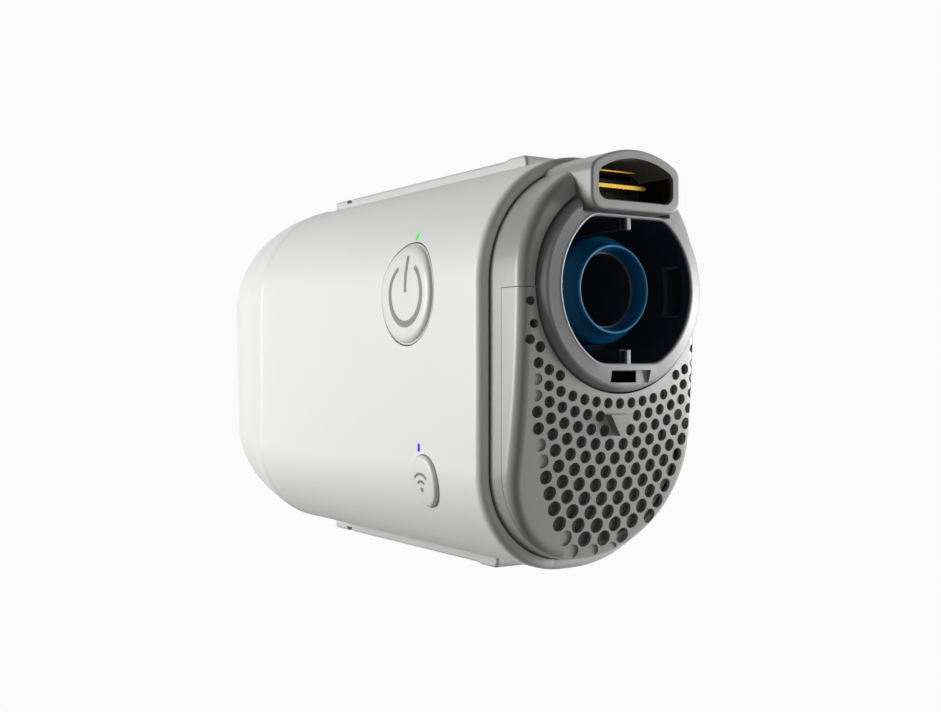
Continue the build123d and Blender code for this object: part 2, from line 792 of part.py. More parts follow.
# ================================================================ blower housing
def volute_radius(turn_angle):
    """Scroll radius at this angle, clockwise from the inlet side."""
    return volute_start_radius + volute_growth * turn_angle / 360


def volute_face(inset):
    """Plan of the scroll, drawn in by the inset."""
    points = []
    for step in range(17):
        angle = 360 * step / 16
        radius = volute_radius(angle) - inset
        points.append((blower_x + radius * sin(radians(angle)), blower_y + radius * cos(radians(angle))))
    return make_face([Spline(*points), Line(points[-1], points[0])])


def volute_solid(inset):
    half = volute_half_height - inset
    return Pos(0, 0, outlet_z - half) * extrude(volute_face(inset), amount=2 * half)


volute_low = outlet_z - volute_half_height
volute_high = outlet_z + volute_half_height
volute = volute_solid(0) + round_on_outlet(pipe_radius, blower_x, pipe_end_x)
volute -= volute_solid(volute_wall)
volute -= round_on_outlet(duct_bore, blower_x + volute_wall, pipe_end_x + 1)

lower_half = slab(-beyond, beyond, -beyond, beyond, -beyond, outlet_z)
upper_half = slab(-beyond, beyond, -beyond, beyond, outlet_z, beyond)
blower_lower_housing = volute & lower_half
cup = post(blower_x, blower_y, cup_bottom, volute_low + 0.2, cup_radius)
cup -= post(blower_x, blower_y, cup_bottom + cup_wall, volute_low + 1, cup_radius - cup_wall)
blower_lower_housing += cup
seat_radius = bearing_radius + bearing_wall
lower_bearing_z = cup_bottom + cup_wall
upper_bearing_z = volute_low - 3.5
blower_lower_housing += post(blower_x, blower_y, cup_bottom, lower_bearing_z + bearing_width, seat_radius)
blower_lower_housing += post(blower_x, blower_y, upper_bearing_z, volute_low + volute_wall, seat_radius)
blower_lower_housing -= post(blower_x, blower_y, lower_bearing_z, lower_bearing_z + 4, bearing_radius)
blower_lower_housing -= post(blower_x, blower_y, upper_bearing_z - 1, upper_bearing_z + bearing_width, bearing_radius)
blower_lower_housing -= post(blower_x, blower_y, upper_bearing_z, volute_low + volute_wall + 1, shaft_radius + 1)

blower_upper_housing = volute & upper_half
blower_upper_housing -= post(blower_x, blower_y, outlet_z + 1, volute_high + 1, eye_radius)
lip = post(blower_x, blower_y, volute_high - volute_wall, volute_high + 1.5, eye_radius + eye_lip)
blower_upper_housing += lip - post(blower_x, blower_y, outlet_z, volute_high + 2, eye_radius)

# ================================================================ rotor
impeller_low = volute_low + volute_wall + impeller_floor_gap
blade_low = impeller_low + impeller_disc
impeller = post(blower_x, blower_y, impeller_low, blade_low, impeller_radius)
impeller += post(blower_x, blower_y, impeller_low, blade_low + blade_height - 1.5, hub_radius)
blade_centre = ThreePointArc((hub_radius - 0.4, 0), (9.6, 2.6), (impeller_radius - 0.3, 8.6))
blade_shape = trace(blade_centre, line_width=blade_thickness)
blade_disc = post(0, 0, 0, blade_height, impeller_radius)
blade = extrude(blade_shape, amount=blade_height) & blade_disc
for index in range(blade_count):
    turn = 360 / blade_count * index
    impeller += Pos(blower_x, blower_y, blade_low) * Rot(0, 0, turn) * blade
impeller -= post(blower_x, blower_y, 0, beyond, shaft_radius)
shaft_top = blade_low + blade_height - 1.5
rotor_shaft = post(blower_x, blower_y, lower_bearing_z + 0.2, shaft_top, shaft_radius)
magnet_low = lower_bearing_z + bearing_width + 0.5
rotor_magnet = post(blower_x, blower_y, magnet_low, magnet_low + magnet_length, magnet_radius)
rotor_magnet -= post(blower_x, blower_y, 0, beyond, shaft_radius)

bearing_list = []
for z in (lower_bearing_z, upper_bearing_z):
    ring = post(blower_x, blower_y, z, z + bearing_width, bearing_radius)
    bearing_list.append(ring - post(blower_x, blower_y, z - 1, z + bearing_width + 1, shaft_radius + fit_gap))
shaft_bearings = Compound(children=bearing_list)

# ================================================================ stator
stator_radius = cup_radius - cup_wall - fit_gap
stator_low = magnet_low + 0.6
stator_high = magnet_low + magnet_length - 0.6
tooth_count = 6
yoke = Circle(stator_radius) - Circle(stator_radius - 2.0)
teeth = Circle(stator_bore + 1.2) - Circle(stator_bore)
for index in range(tooth_count):
    turn = 360 / tooth_count * index
    teeth += Rot(0, 0, turn) * Pos((stator_bore + stator_radius - 1) / 2, 0) * Rectangle(stator_radius - 1 - stator_bore, 2.2)
teeth -= Circle(stator_bore)
stator_face = yoke + teeth
stator_core = Pos(blower_x, blower_y, stator_low) * extrude(stator_face, amount=stator_high - stator_low)
coil_list = []
for index in range(tooth_count):
    turn = 360 / tooth_count * index
    coil_in = stator_bore + 1.5
    coil_out = stator_radius - 2.4
    ring = Box(coil_out - coil_in, 4.2, stator_high - stator_low + 1.6)
    ring -= Box(coil_out - coil_in + 1, 2.3, stator_high - stator_low + 0.1)
    place = Pos(blower_x, blower_y, (stator_low + stator_high) / 2) * Rot(0, 0, turn)
    coil_list.append(place * Pos((coil_in + coil_out) / 2, 0, 0) * ring)
stator_coils = Compound(children=coil_list)

# ================================================================ blower mount
mount_top = cup_bottom + 4.5
blower_mount = post(blower_x, blower_y, mount_floor_z, mount_top, cup_radius + mount_wall)
blower_mount -= post(blower_x, blower_y, mount_floor_z + mount_floor, mount_top + 1, cup_radius + fit_gap)
blower_mount = blower_mount & casing(wall + fit_gap)

# ================================================================ intake box, lid and foam
intake_near_x = seat_x - seat_plate
intake_high = volute_high
intake_box = slab(intake_far_x, intake_near_x, intake_plain_y, intake_inlet_y, intake_low, intake_high)
intake_box -= slab(
    intake_far_x + intake_wall,
    intake_near_x + 1,
    intake_plain_y + intake_wall,
    intake_inlet_y - intake_wall,
    intake_low + intake_wall,
    intake_high - intake_wall,
)
port = (lid_plain_y + 2.0, min(lid_inlet_y, intake_inlet_y) - 3.0)
intake_box -= slab(intake_far_x + 3.0, lid_near_x - 2.0, port[0], port[1], intake_high - 5, intake_high + 1)
foam_gap = 0.3
foam_far_x = lid_near_x + 1.0
muffler_foam = slab(
    foam_far_x,
    intake_near_x - 2.0,
    intake_plain_y + intake_wall + foam_gap,
    intake_inlet_y - intake_wall - foam_gap,
    intake_low + intake_wall,
    intake_high - intake_wall - foam_gap,
)
foam_mid_y = (intake_plain_y + intake_inlet_y) / 2
foam_mid_z = (intake_low + intake_high) / 2
for z in (foam_mid_z - 5.5, foam_mid_z + 5.5):
    muffler_foam -= Pos(0, foam_mid_y, z) * Rot(0, 90, 0) * Cylinder(3.4, beyond * 2)

lid_top = volute_high + lid_height
intake_lid = slab(lid_far_x, lid_near_x, lid_plain_y, lid_inlet_y, volute_high, lid_top)
intake_lid = fillet(intake_lid.edges().filter_by(Axis.Z), 6.0)
lid_hollow = slab(
    lid_far_x + lid_wall,
    lid_near_x - lid_wall,
    lid_plain_y + lid_wall,
    lid_inlet_y - lid_wall,
    volute_high - 1,
    lid_top - lid_wall,
)
lid_hollow = fillet(lid_hollow.edges().filter_by(Axis.Z), 6.0 - lid_wall)
intake_lid -= lid_hollow
lid_cut = pipe_radius + coupling_wall + 2 * fit_gap
intake_lid -= round_on_outlet(lid_cut, coupling_low - 1, coupling_high + 1)
bridge_low_x = blower_x + volute_radius(90) - 4.0
bridge_high_y = intake_inlet_y
intake_lid += slab(bridge_low_x, intake_far_x + 2.0, lid_plain_y + 0.5, bridge_high_y, volute_high, volute_high + 1.0)

# ================================================================ circuit board and its parts
main_board = slab(board_far_x, board_near_x, board_plain_y, board_inlet_y, board_bottom, board_top)
main_board = fillet(main_board.edges().filter_by(Axis.Z), 2.0)
for x, y in post_spots:
    main_board -= post(x, y, 0, beyond, board_screw_radius + fit_gap)


def on_board(x, y, length, width, height):
    return slab(x - length / 2, x + length / 2, y - width / 2, y + width / 2, board_top, board_top + height)


chip_x = board_far_x + 18.0
board_chips = Compound(
    children=[
        on_board(chip_x, 0, 9, 9, 1.2),
        on_board(chip_x - 10.0, 9.0, 6, 4, 1.0),
        on_board(chip_x + 2.0, -13.0, 5, 5, 1.0),
        on_board(chip_x + 14.0, -7.0, 4, 3, 0.9),
    ]
)
board_capacitors = Compound(
    children=[post(board_far_x + 8.0 + 7.0 * index, -19.0, board_top, board_top + 4.2, 2.5) for index in range(3)]
)
sensor_x = pipe_end_x + 14.0
pressure_sensor = slab(sensor_x - 3.5, sensor_x + 3.5, outlet_y - 3, outlet_y + 3, board_bottom - 2.6, board_bottom)
duct_top = outlet_z + pipe_radius
tube_list = []
for x in (sensor_x - 1.8, sensor_x + 1.8):
    tube_list.append(post(x, outlet_y, duct_top + 0.05, board_bottom - 2.6, 0.9) - post(x, outlet_y, 0, beyond, 0.5))
sensor_tubes = Compound(children=tube_list)


def switch_body(x, y):
    """Tactile switch with a well that its plunger sinks into."""
    body = on_board(x, y, switch_width, switch_width, switch_height)
    return body - post(x, y, board_top + 0.4, beyond, plunger_radius + fit_gap)


plunger_top = board_top + switch_height + plunger_proud


def switch_plunger(x, y):
    return post(x, y, plunger_top - plunger_length, plunger_top, plunger_radius)


power_switch = switch_body(power_button_x, outlet_y)
power_switch_plunger = switch_plunger(power_button_x, outlet_y)
wireless_switch = switch_body(wireless_button_x, wireless_button_y)
wireless_switch_plunger = switch_plunger(wireless_button_x, wireless_button_y)


# ================================================================ buttons
def button(x, y, radius, proud):
    """Low round cap that follows the turn of the cover, on a stem that reaches the switch."""
    cap_low = body_height - button_cap
    cap = post(x, y, cap_low, beyond, radius) & casing(-proud)
    cap = fillet(cap.faces().sort_by(Axis.Z)[-1].outer_wire().edges(), button_edge)
    return cap + post(x, y, plunger_top, cap_low, button_stem_radius)


power_button = button(power_button_x, outlet_y, power_button_radius, power_button_proud)
wireless_button = button(wireless_button_x, wireless_button_y, wireless_button_radius, wireless_button_proud)


def light_pipe(x, y):
    """Clear slit that carries a light from the board to the face."""
    return light_slit(x, y, 0) & casing_outer


power_light_pipe = light_pipe(power_light_x, power_light_y)
wireless_light_pipe = light_pipe(wireless_light_x, wireless_light_y)


# ================================================================ leads
def lead(points, bend):
    """Insulated wire along a path of straight runs with round bends."""
    path = FilletPolyline(*points, radius=bend)
    start = Plane(origin=path @ 0, z_dir=path % 0)
    return sweep(start * Circle(lead_radius), path=path)


lead_start = (blower_x + cup_radius * 0.9, blower_y - cup_radius * 0.5)
lead_rise_y = lid_plain_y - 3.4
motor_lead_list = []
for index in range(3):
    shift = lead_pitch * index
    motor_lead_list.append(
        lead(
            [
                (lead_start[0] + 0.6, lead_start[1], cup_bottom + 7.0 + shift),
                (pipe_end_x - 3.0 + shift, lead_rise_y, cup_bottom + 7.0 + shift),
                (pipe_end_x - 3.0 + shift, lead_rise_y, board_bottom),
            ],
            3.0,
        )
    )
motor_leads = Compound(children=motor_lead_list)

inlet_lead_list = []
for index, y in enumerate(contact_ys):
    inlet_lead_list.append(
        lead(
            [
                (contact_root_x, y - 0.3, outlet_z),
                (board_near_x - 2.5, y - 0.3, outlet_z),
                (board_near_x - 4.0 - 2.4 * index, board_inlet_y - 1.4, board_bottom - 6.0),
                (board_near_x - 4.0 - 2.4 * index, board_inlet_y - 1.4, board_bottom),
            ],
            2.0,
        )
    )
inlet_leads = Compound(children=inlet_lead_list)

# ================================================================ write one file per piece
pieces = {
    "top_cover": top_cover,
    "base_cover": base_cover,
    "base_feet": base_feet,
    "case_screws": case_screws,
    "board_screws": board_screws,
    "end_bezel": end_bezel,
    "inlet_insert": inlet_insert,
    "inlet_contacts": inlet_contacts,
    "filter_cover": filter_cover,
    "air_filter": air_filter,
    "tube_collar": tube_collar,
    "socket_liner": socket_liner,
    "outlet_cuff": outlet_cuff,
    "outlet_duct": outlet_duct,
    "blower_coupling": blower_coupling,
    "flow_screen": flow_screen,
    "blower_lower_housing": blower_lower_housing,
    "blower_upper_housing": blower_upper_housing,
    "impeller": impeller,
    "rotor_shaft": rotor_shaft,
    "rotor_magnet": rotor_magnet,
    "shaft_bearings": shaft_bearings,
    "stator_core": stator_core,
    "stator_coils": stator_coils,
    "blower_mount": blower_mount,
    "intake_box": intake_box,
    "intake_lid": intake_lid,
    "muffler_foam": muffler_foam,
    "main_board": main_board,
    "board_chips": board_chips,
    "board_capacitors": board_capacitors,
    "pressure_sensor": pressure_sensor,
    "sensor_tubes": sensor_tubes,
    "power_switch": power_switch,
    "power_switch_plunger": power_switch_plunger,
    "wireless_switch": wireless_switch,
    "wireless_switch_plunger": wireless_switch_plunger,
    "power_button": power_button,
    "wireless_button": wireless_button,
    "power_light_pipe": power_light_pipe,
    "wireless_light_pipe": wireless_light_pipe,
    "motor_leads": motor_leads,
    "inlet_leads": inlet_leads,
}
for name, piece in pieces.items():
    export_step(piece, f"parts/{name}.step")
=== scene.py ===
import json
import math

import bmesh
import bpy
from mathutils import Matrix, Vector
from mathutils.bvhtree import BVHTree

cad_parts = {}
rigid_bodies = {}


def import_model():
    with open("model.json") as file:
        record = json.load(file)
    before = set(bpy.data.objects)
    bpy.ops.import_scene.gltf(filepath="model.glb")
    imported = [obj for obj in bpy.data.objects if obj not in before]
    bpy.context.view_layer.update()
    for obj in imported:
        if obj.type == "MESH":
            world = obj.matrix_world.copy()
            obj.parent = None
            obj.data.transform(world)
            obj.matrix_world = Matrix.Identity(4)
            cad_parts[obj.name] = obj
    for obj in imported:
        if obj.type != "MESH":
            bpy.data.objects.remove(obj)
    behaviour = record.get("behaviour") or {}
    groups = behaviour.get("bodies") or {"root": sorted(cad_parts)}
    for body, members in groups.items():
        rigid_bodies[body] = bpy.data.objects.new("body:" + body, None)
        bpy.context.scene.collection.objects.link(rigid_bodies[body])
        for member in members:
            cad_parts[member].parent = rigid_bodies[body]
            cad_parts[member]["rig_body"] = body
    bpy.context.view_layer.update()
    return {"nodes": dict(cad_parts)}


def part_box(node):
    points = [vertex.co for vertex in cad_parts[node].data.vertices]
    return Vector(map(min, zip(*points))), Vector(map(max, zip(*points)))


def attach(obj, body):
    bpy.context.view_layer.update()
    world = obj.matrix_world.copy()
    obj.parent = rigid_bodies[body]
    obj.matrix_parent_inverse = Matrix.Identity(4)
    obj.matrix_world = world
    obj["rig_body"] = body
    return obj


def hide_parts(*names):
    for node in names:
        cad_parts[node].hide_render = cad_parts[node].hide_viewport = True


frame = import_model()

# Camera: stands off the outlet end, above the button face, rolled so that the
# machine's inlet side is uppermost. It has a normal lens and is held close.
view_turn = math.radians(33.13)
camera_place = (0.2305, 0.0, 0.1691)
look_back = Vector((math.cos(view_turn), 0.0, math.sin(view_turn)))
look_up = Vector((0.0, 1.0, 0.0))
look_right = look_up.cross(look_back)
camera_turn = Matrix((look_right, look_up, look_back)).transposed().to_4x4()
camera_data = bpy.data.cameras.new("camera")
camera_data.sensor_width = 36.0
camera_data.lens = 46.25
camera_data.shift_y = 0.0096
camera_data.clip_start = 0.01
camera = bpy.data.objects.new("camera", camera_data)
camera.matrix_world = Matrix.Translation(camera_place) @ camera_turn
bpy.context.scene.collection.objects.link(camera)
bpy.context.scene.camera = camera

# Top cover: the white shell that carries the buttons. It is injection moulded
# in a polycarbonate and ABS blend, in a mould with a fine spark-eroded grain.
weld_gap = 2e-6


def linear(hex_colour):
    """An sRGB hex colour as the linear values that a shader takes."""
    values = [int(hex_colour[i : i + 2], 16) / 255 for i in (1, 3, 5)]
    return [v / 12.92 if v <= 0.04045 else ((v + 0.055) / 1.055) ** 2.4 for v in values] + [1.0]


def add(tree, kind, links=None, **settings):
    """A node with its settings, and links from other nodes' outputs into its inputs."""
    node = tree.nodes.new(kind)
    for name, value in settings.items():
        if hasattr(node, name):
            setattr(node, name, value)
        else:
            node.inputs[name.replace("_", " ")].default_value = value
    for socket, source in (links or {}).items():
        tree.links.new(source, node.inputs[socket])
    return node


def started(name, **constants):
    """A new finish with its constants: the material, its node tree and its shader."""
    material = bpy.data.materials.new(name)
    material.use_nodes = True
    shader = material.node_tree.nodes["Principled BSDF"]
    for socket, value in constants.items():
        shader.inputs[socket.replace("_", " ")].default_value = value
    return material, material.node_tree, shader


def surfaced(name, low_hex, high_hex, rough, grain_mm, depth_mm, metal=0.0, stretch=(1, 1, 1)):
    """A solid finish: two close shades in soft clouds, and a grain that breaks up its gloss."""
    # The real grain is a few hundredths of a millimetre, too fine to show, so
    # it is drawn as coarse as it needs to be seen.
    clouds_to_a_metre = 45.0
    gloss_spread = 0.06
    material, tree, shader = started(name, Metallic=metal)
    place = add(tree, "ShaderNodeTexCoord").outputs["Object"]
    sized = add(tree, "ShaderNodeMapping", {"Vector": place}, Scale=stretch).outputs["Vector"]
    grain = add(
        tree, "ShaderNodeTexNoise", {"Vector": sized}, Scale=1000 / grain_mm, Detail=3.0
    ).outputs["Fac"]
    cloud = add(
        tree, "ShaderNodeTexNoise", {"Vector": place}, Scale=clouds_to_a_metre, Detail=2.0
    ).outputs["Fac"]
    # A Mix node of colours takes them at inputs 6 and 7, and gives output 2.
    shade = add(tree, "ShaderNodeMix", {"Factor": cloud}, data_type="RGBA")
    shade.inputs[6].default_value = linear(low_hex)
    shade.inputs[7].default_value = linear(high_hex)
    tree.links.new(shade.outputs[2], shader.inputs["Base Color"])
    gloss = add(
        tree,
        "ShaderNodeMapRange",
        {"Value": grain},
        To_Min=rough - gloss_spread,
        To_Max=rough + gloss_spread,
    )
    tree.links.new(gloss.outputs["Result"], shader.inputs["Roughness"])
    bump = add(
        tree, "ShaderNodeBump", {"Height": grain}, Strength=0.3, Distance=depth_mm / 1000
    )
    tree.links.new(bump.outputs["Normal"], shader.inputs["Normal"])
    return material


def place_piece(name, body, surface, material, sharp=28.0):
    """A finished mesh as a piece of its body: smooth shaded, with its sharp edges kept."""
    mesh = bpy.data.meshes.new(name)
    surface.to_mesh(mesh)
    surface.free()
    # A copy of a CAD node brings the normals of its loose triangles, which no
    # longer fit once they are joined.
    loose_normals = mesh.attributes.get("custom_normal")
    if loose_normals:
        mesh.attributes.remove(loose_normals)
    mesh.materials.clear()
    mesh.materials.append(material)
    mesh.shade_smooth()
    mesh.set_sharp_from_angle(angle=math.radians(sharp))
    piece = bpy.data.objects.new(name, mesh)
    bpy.context.scene.collection.objects.link(piece)
    even = piece.modifiers.new("even_shading", "WEIGHTED_NORMAL")
    even.keep_sharp = True
    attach(piece, body)
    return piece


def joined_copy(node):
    """The surface of a CAD node with its triangles joined up, ready to shape."""
    surface = bmesh.new()
    surface.from_mesh(frame["nodes"][node].data)
    bmesh.ops.remove_doubles(surface, verts=surface.verts, dist=weld_gap)
    return surface


def finish_node(node, name, material):
    """The piece as it is seen, in place of its CAD solid."""
    body = frame["nodes"][node]["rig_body"]
    piece = place_piece(name, body, joined_copy(node), material)
    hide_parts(node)
    return piece


shell_white = surfaced(
    "satin_pc_abs_white", "#E9E9E7", "#EEEEEC", rough=0.44, grain_mm=0.30, depth_mm=0.010
)
finish_node("top_cover", "top_shell", shell_white)

# Base cover: the lower shell with its two mount rails, moulded in the same
# blend. Its greyer white, which shows beside the top cover's line, is painted shade.
base_white = surfaced(
    "satin_pc_abs_white_painted_shade", "#CBCBC9", "#D1D1CF", rough=0.46, grain_mm=0.30, depth_mm=0.010
)
finish_node("base_cover", "base_shell", base_white)

# Feet: soft dark pads pressed into the base. Moulded rubber has almost no
# gloss and a slightly dusty face.
foot_rubber = surfaced(
    "moulded_rubber", "#343434", "#424242", rough=0.82, grain_mm=0.35, depth_mm=0.02
)
finish_node("base_feet", "foot_pads", foot_rubber)


# Screws: cross-recess steel screws with a thin bright zinc plate, which hold
# the two covers and the board. Their turned heads leave fine rings of gloss.
def dress(material, *nodes):
    """CAD nodes keep their own surface and take a material."""
    for node in nodes:
        mesh = frame["nodes"][node].data
        mesh.materials.clear()
        mesh.materials.append(material)


zinc_plate = surfaced(
    "zinc_plated_steel",
    "#9C9DA0",
    "#B2B3B6",
    rough=0.32,
    grain_mm=0.2,
    depth_mm=0.004,
    metal=1.0,
    stretch=(1, 1, 6),
)
dress(zinc_plate, "case_screws", "board_screws")

# End bezel: the grey end moulding, with the hood of the power inlet on its
# inlet side. Satin ABS with a fine grain, which gives broad soft highlights.
bezel_grey = surfaced(
    "satin_abs_grey", "#A2A2A0", "#A8A8A6", rough=0.36, grain_mm=0.28, depth_mm=0.008
)
finish_node("end_bezel", "end_moulding", bezel_grey)

# Filter cover: the perforated grille that pulls off with the filter in it,
# moulded in the bezel's ABS. It closes up to the collar, its pull mark is a
# low flat triangle, and a few smaller holes run on round its edge.
outlet_y = 0.0137
outlet_z = 0.028
to_outlet = Matrix.Translation((0, -outlet_y, -outlet_z))
quarter_turn = Matrix.Rotation(math.radians(90), 4, "Y")
collar_shrink = 0.979
collar_edge_radius = 0.01935
collar_edge_x = 0.0574
pull_mark_y = (-0.016, -0.0085)
pull_mark_z = (0.024, 0.034)
pull_mark_face_x = 0.0642
pull_mark_sink = 0.00073
drill_length = 0.02
through = 0.050
blind = 0.0632


def from_outlet(vert):
    """How far a point is from the outlet's axis."""
    return math.hypot(vert.co.y - outlet_y, vert.co.z - outlet_z)


grille_surface = joined_copy("filter_cover")
by_collar = [
    vert
    for vert in grille_surface.verts
    if from_outlet(vert) < collar_edge_radius and vert.co.x > collar_edge_x
]
bmesh.ops.scale(
    grille_surface, verts=by_collar, vec=(1, collar_shrink, collar_shrink), space=to_outlet
)
pull_mark_top = [
    vert
    for vert in grille_surface.verts
    if pull_mark_y[0] < vert.co.y < pull_mark_y[1]
    and pull_mark_z[0] < vert.co.z < pull_mark_z[1]
    and vert.co.x > pull_mark_face_x
]
bmesh.ops.translate(grille_surface, verts=pull_mark_top, vec=(-pull_mark_sink, 0, 0))
drills = bmesh.new()
for hole_y, hole_z, radius, floor_x in (
    (0.0044, 0.0477, 0.00086, through),
    (0.0071, 0.0471, 0.00082, through),
    (0.0110, 0.0478, 0.00078, through),
    (0.0017, 0.0481, 0.00080, blind),
    (0.0031, 0.0103, 0.00080, through),
    (0.0004, 0.0100, 0.00084, through),
    (-0.0024, 0.0100, 0.00088, through),
    (-0.0052, 0.0101, 0.00092, through),
    (-0.0081, 0.0104, 0.00096, through),
    (-0.0110, 0.0108, 0.00100, through),
):
    drill_middle = Matrix.Translation((floor_x + drill_length / 2, hole_y, hole_z))
    bmesh.ops.create_cone(
        drills,
        cap_ends=True,
        segments=24,
        radius1=radius,
        radius2=radius,
        depth=drill_length,
        matrix=drill_middle @ quarter_turn,
    )
tools = []
for name, surface in (("grille_blank", grille_surface), ("grille_drills", drills)):
    mesh = bpy.data.meshes.new(name)
    surface.to_mesh(mesh)
    surface.free()
    tools.append(bpy.data.objects.new(name, mesh))
    bpy.context.scene.collection.objects.link(tools[-1])
blank, drill = tools
cut = blank.modifiers.new("edge_holes", "BOOLEAN")
cut.operation = "DIFFERENCE"
cut.object = drill
cut.solver = "EXACT"
bpy.context.view_layer.update()
drilled = bmesh.new()
drilled.from_object(blank, bpy.context.evaluated_depsgraph_get())
for tool in tools:
    bpy.data.objects.remove(tool)
grille_grey = surfaced(
    "satin_abs_light_grey", "#AAAAA8", "#B0B0AE", rough=0.36, grain_mm=0.28, depth_mm=0.008
)
grille = place_piece("grille", "filter_door", drilled, grille_grey)
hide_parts("filter_cover")

# Air filter: a pad of pressed polyester fibre behind the grille. The fibres
# lie in every direction, so it is dark, dull and finely mottled. They are too
# fine to show, so the strands are drawn coarser.
strands_to_a_mm = 2.6
fibre, tree, shader = started("pressed_polyester_fibre", Roughness=0.95)
place = add(tree, "ShaderNodeTexCoord").outputs["Object"]
strands = add(
    tree,
    "ShaderNodeTexNoise",
    {"Vector": place},
    Scale=1000 * strands_to_a_mm,
    Detail=4.0,
    Distortion=1.5,
).outputs["Fac"]
tint = add(tree, "ShaderNodeValToRGB", {"Fac": strands})
dark_stop, pale_stop = tint.color_ramp.elements
dark_stop.position = 0.35
dark_stop.color = linear("#363636")
pale_stop.position = 0.7
pale_stop.color = linear("#6C6C6C")
tree.links.new(tint.outputs["Color"], shader.inputs["Base Color"])
bump = add(tree, "ShaderNodeBump", {"Height": strands}, Strength=0.8, Distance=0.00015)
tree.links.new(bump.outputs["Normal"], shader.inputs["Normal"])
finish_node("air_filter", "filter_pad", fibre)

# Tube collar: the ring that the breathing tube clicks into, moulded in a
# smoother ABS. Its face falls away a little from the middle, like the bezel.
collar_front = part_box("tube_collar")[1].x
collar_outer_radius = 0.0168
collar_face_band = 0.0010
collar_face_fall = 0.0005
collar_grey = surfaced(
    "smooth_abs_grey", "#A8A8A8", "#AEAEAE", rough=0.40, grain_mm=0.35, depth_mm=0.004
)
ring = joined_copy("tube_collar")
outer = [vert for vert in ring.verts if from_outlet(vert) > collar_outer_radius]
bmesh.ops.scale(ring, verts=outer, vec=(1, collar_shrink, collar_shrink), space=to_outlet)
face_edge = [vert for vert in outer if vert.co.x > collar_front - collar_face_band]
bmesh.ops.translate(ring, verts=face_edge, vec=(-collar_face_fall, 0, 0))
collar = place_piece("socket_ring", "housing", ring, collar_grey)
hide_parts("tube_collar")

# Socket mouth: the ring's rounded inner edge and its two keys, of the same
# moulding. A round opening with two flats, whose corners run softly together.
opening_radius = 0.015
flat_plain = outlet_y - 0.0136
flat_inlet = outlet_y + 0.0126
mouth_inset = 0.00012
mouth_proud = 0.00002
mouth_depth = 0.00055
mouth_flare = 1.03
mouth_round = 0.00032
corner_softenings = 14
plain_key_height = 0.0026
inlet_key_height = 0.00225
key_width = 0.0009
key_depth = 0.0007
key_set_back = 0.0005
key_round = 0.00015
keys = (
    (plain_key_height, flat_plain + plain_key_height / 2),
    (inlet_key_height, flat_inlet - inlet_key_height / 2),
)


def extruded(surface, edges):
    """The points that are drawn out of an edge loop, for the caller to move."""
    drawn = bmesh.ops.extrude_edge_only(surface, edges=edges)
    return [item for item in drawn["geom"] if isinstance(item, bmesh.types.BMVert)]


def block(surface, size, middle):
    """A plain block added to a surface, as its points."""
    corners = bmesh.ops.create_cube(surface, size=1.0)["verts"]
    bmesh.ops.scale(surface, verts=corners, vec=size)
    bmesh.ops.translate(surface, verts=corners, vec=middle)
    return corners


def rounded(surface, edges, radius, segments):
    """Edges rounded over."""
    bmesh.ops.bevel(
        surface,
        geom=edges,
        offset=radius,
        affect="EDGES",
        segments=segments,
        profile=0.5,
        material=-1,
        offset_type="OFFSET",
    )


mouth = bmesh.new()
bmesh.ops.create_circle(
    mouth,
    segments=240,
    radius=opening_radius - mouth_inset,
    matrix=Matrix.Translation((collar_front + mouth_proud, outlet_y, outlet_z)) @ quarter_turn,
)
for vert in mouth.verts:
    vert.co.y = min(max(vert.co.y, flat_plain + mouth_inset), flat_inlet - mouth_inset)
for softening in range(corner_softenings):
    bmesh.ops.smooth_vert(
        mouth, verts=mouth.verts, factor=0.5, use_axis_x=True, use_axis_y=True, use_axis_z=True
    )
sleeve_lip = mouth.copy()
front_edges = list(mouth.edges)
mouth_back = extruded(mouth, front_edges)
bmesh.ops.translate(mouth, verts=mouth_back, vec=(-mouth_depth, 0, 0))
rim = extruded(mouth, front_edges)
bmesh.ops.scale(mouth, verts=rim, vec=(1, mouth_flare, mouth_flare), space=to_outlet)
rounded(mouth, front_edges, mouth_round, segments=4)
for key_height, key_y in keys:
    key_size = (key_depth, key_height, key_width)
    key = block(mouth, key_size, (collar_front - key_set_back, key_y, outlet_z))
    key_edges = list({edge for vert in key for edge in vert.link_edges})
    rounded(mouth, key_edges, key_round, segments=2)
bmesh.ops.recalc_face_normals(mouth, faces=mouth.faces)
place_piece("socket_mouth", "housing", mouth, collar_grey)

# Socket liner: the black sleeve behind the ring, with its ribs and latch
# pocket, in polished polycarbonate. It is seen mostly by faint reflections.
socket_black = surfaced(
    "polished_pc_black", "#3A3E46", "#444850", rough=0.30, grain_mm=0.5, depth_mm=0.0006
)
finish_node("socket_liner", "socket_sleeve", socket_black)

# Sleeve lip: the sleeve's front edge, which lines the ring up to its rounded
# mouth, with the roots of the two keys. It is one moulding with the sleeve.
lip_set_back = 0.0004
lip_depth = 0.0018
lip_wall = 0.00006
root_set_back = 0.0017
root_narrowing = 0.0002
bmesh.ops.translate(sleeve_lip, verts=sleeve_lip.verts, vec=(-lip_set_back, 0, 0))
lip_back = extruded(sleeve_lip, list(sleeve_lip.edges))
bmesh.ops.translate(sleeve_lip, verts=lip_back, vec=(-lip_depth, 0, 0))
bmesh.ops.recalc_face_normals(sleeve_lip, faces=sleeve_lip.faces)
bmesh.ops.solidify(sleeve_lip, geom=sleeve_lip.faces, thickness=lip_wall)
for key_height, key_y in keys:
    root_size = (lip_depth, key_height - root_narrowing, key_width)
    block(sleeve_lip, root_size, (collar_front - root_set_back, key_y, outlet_z))
place_piece("sleeve_lip", "housing", sleeve_lip, socket_black)
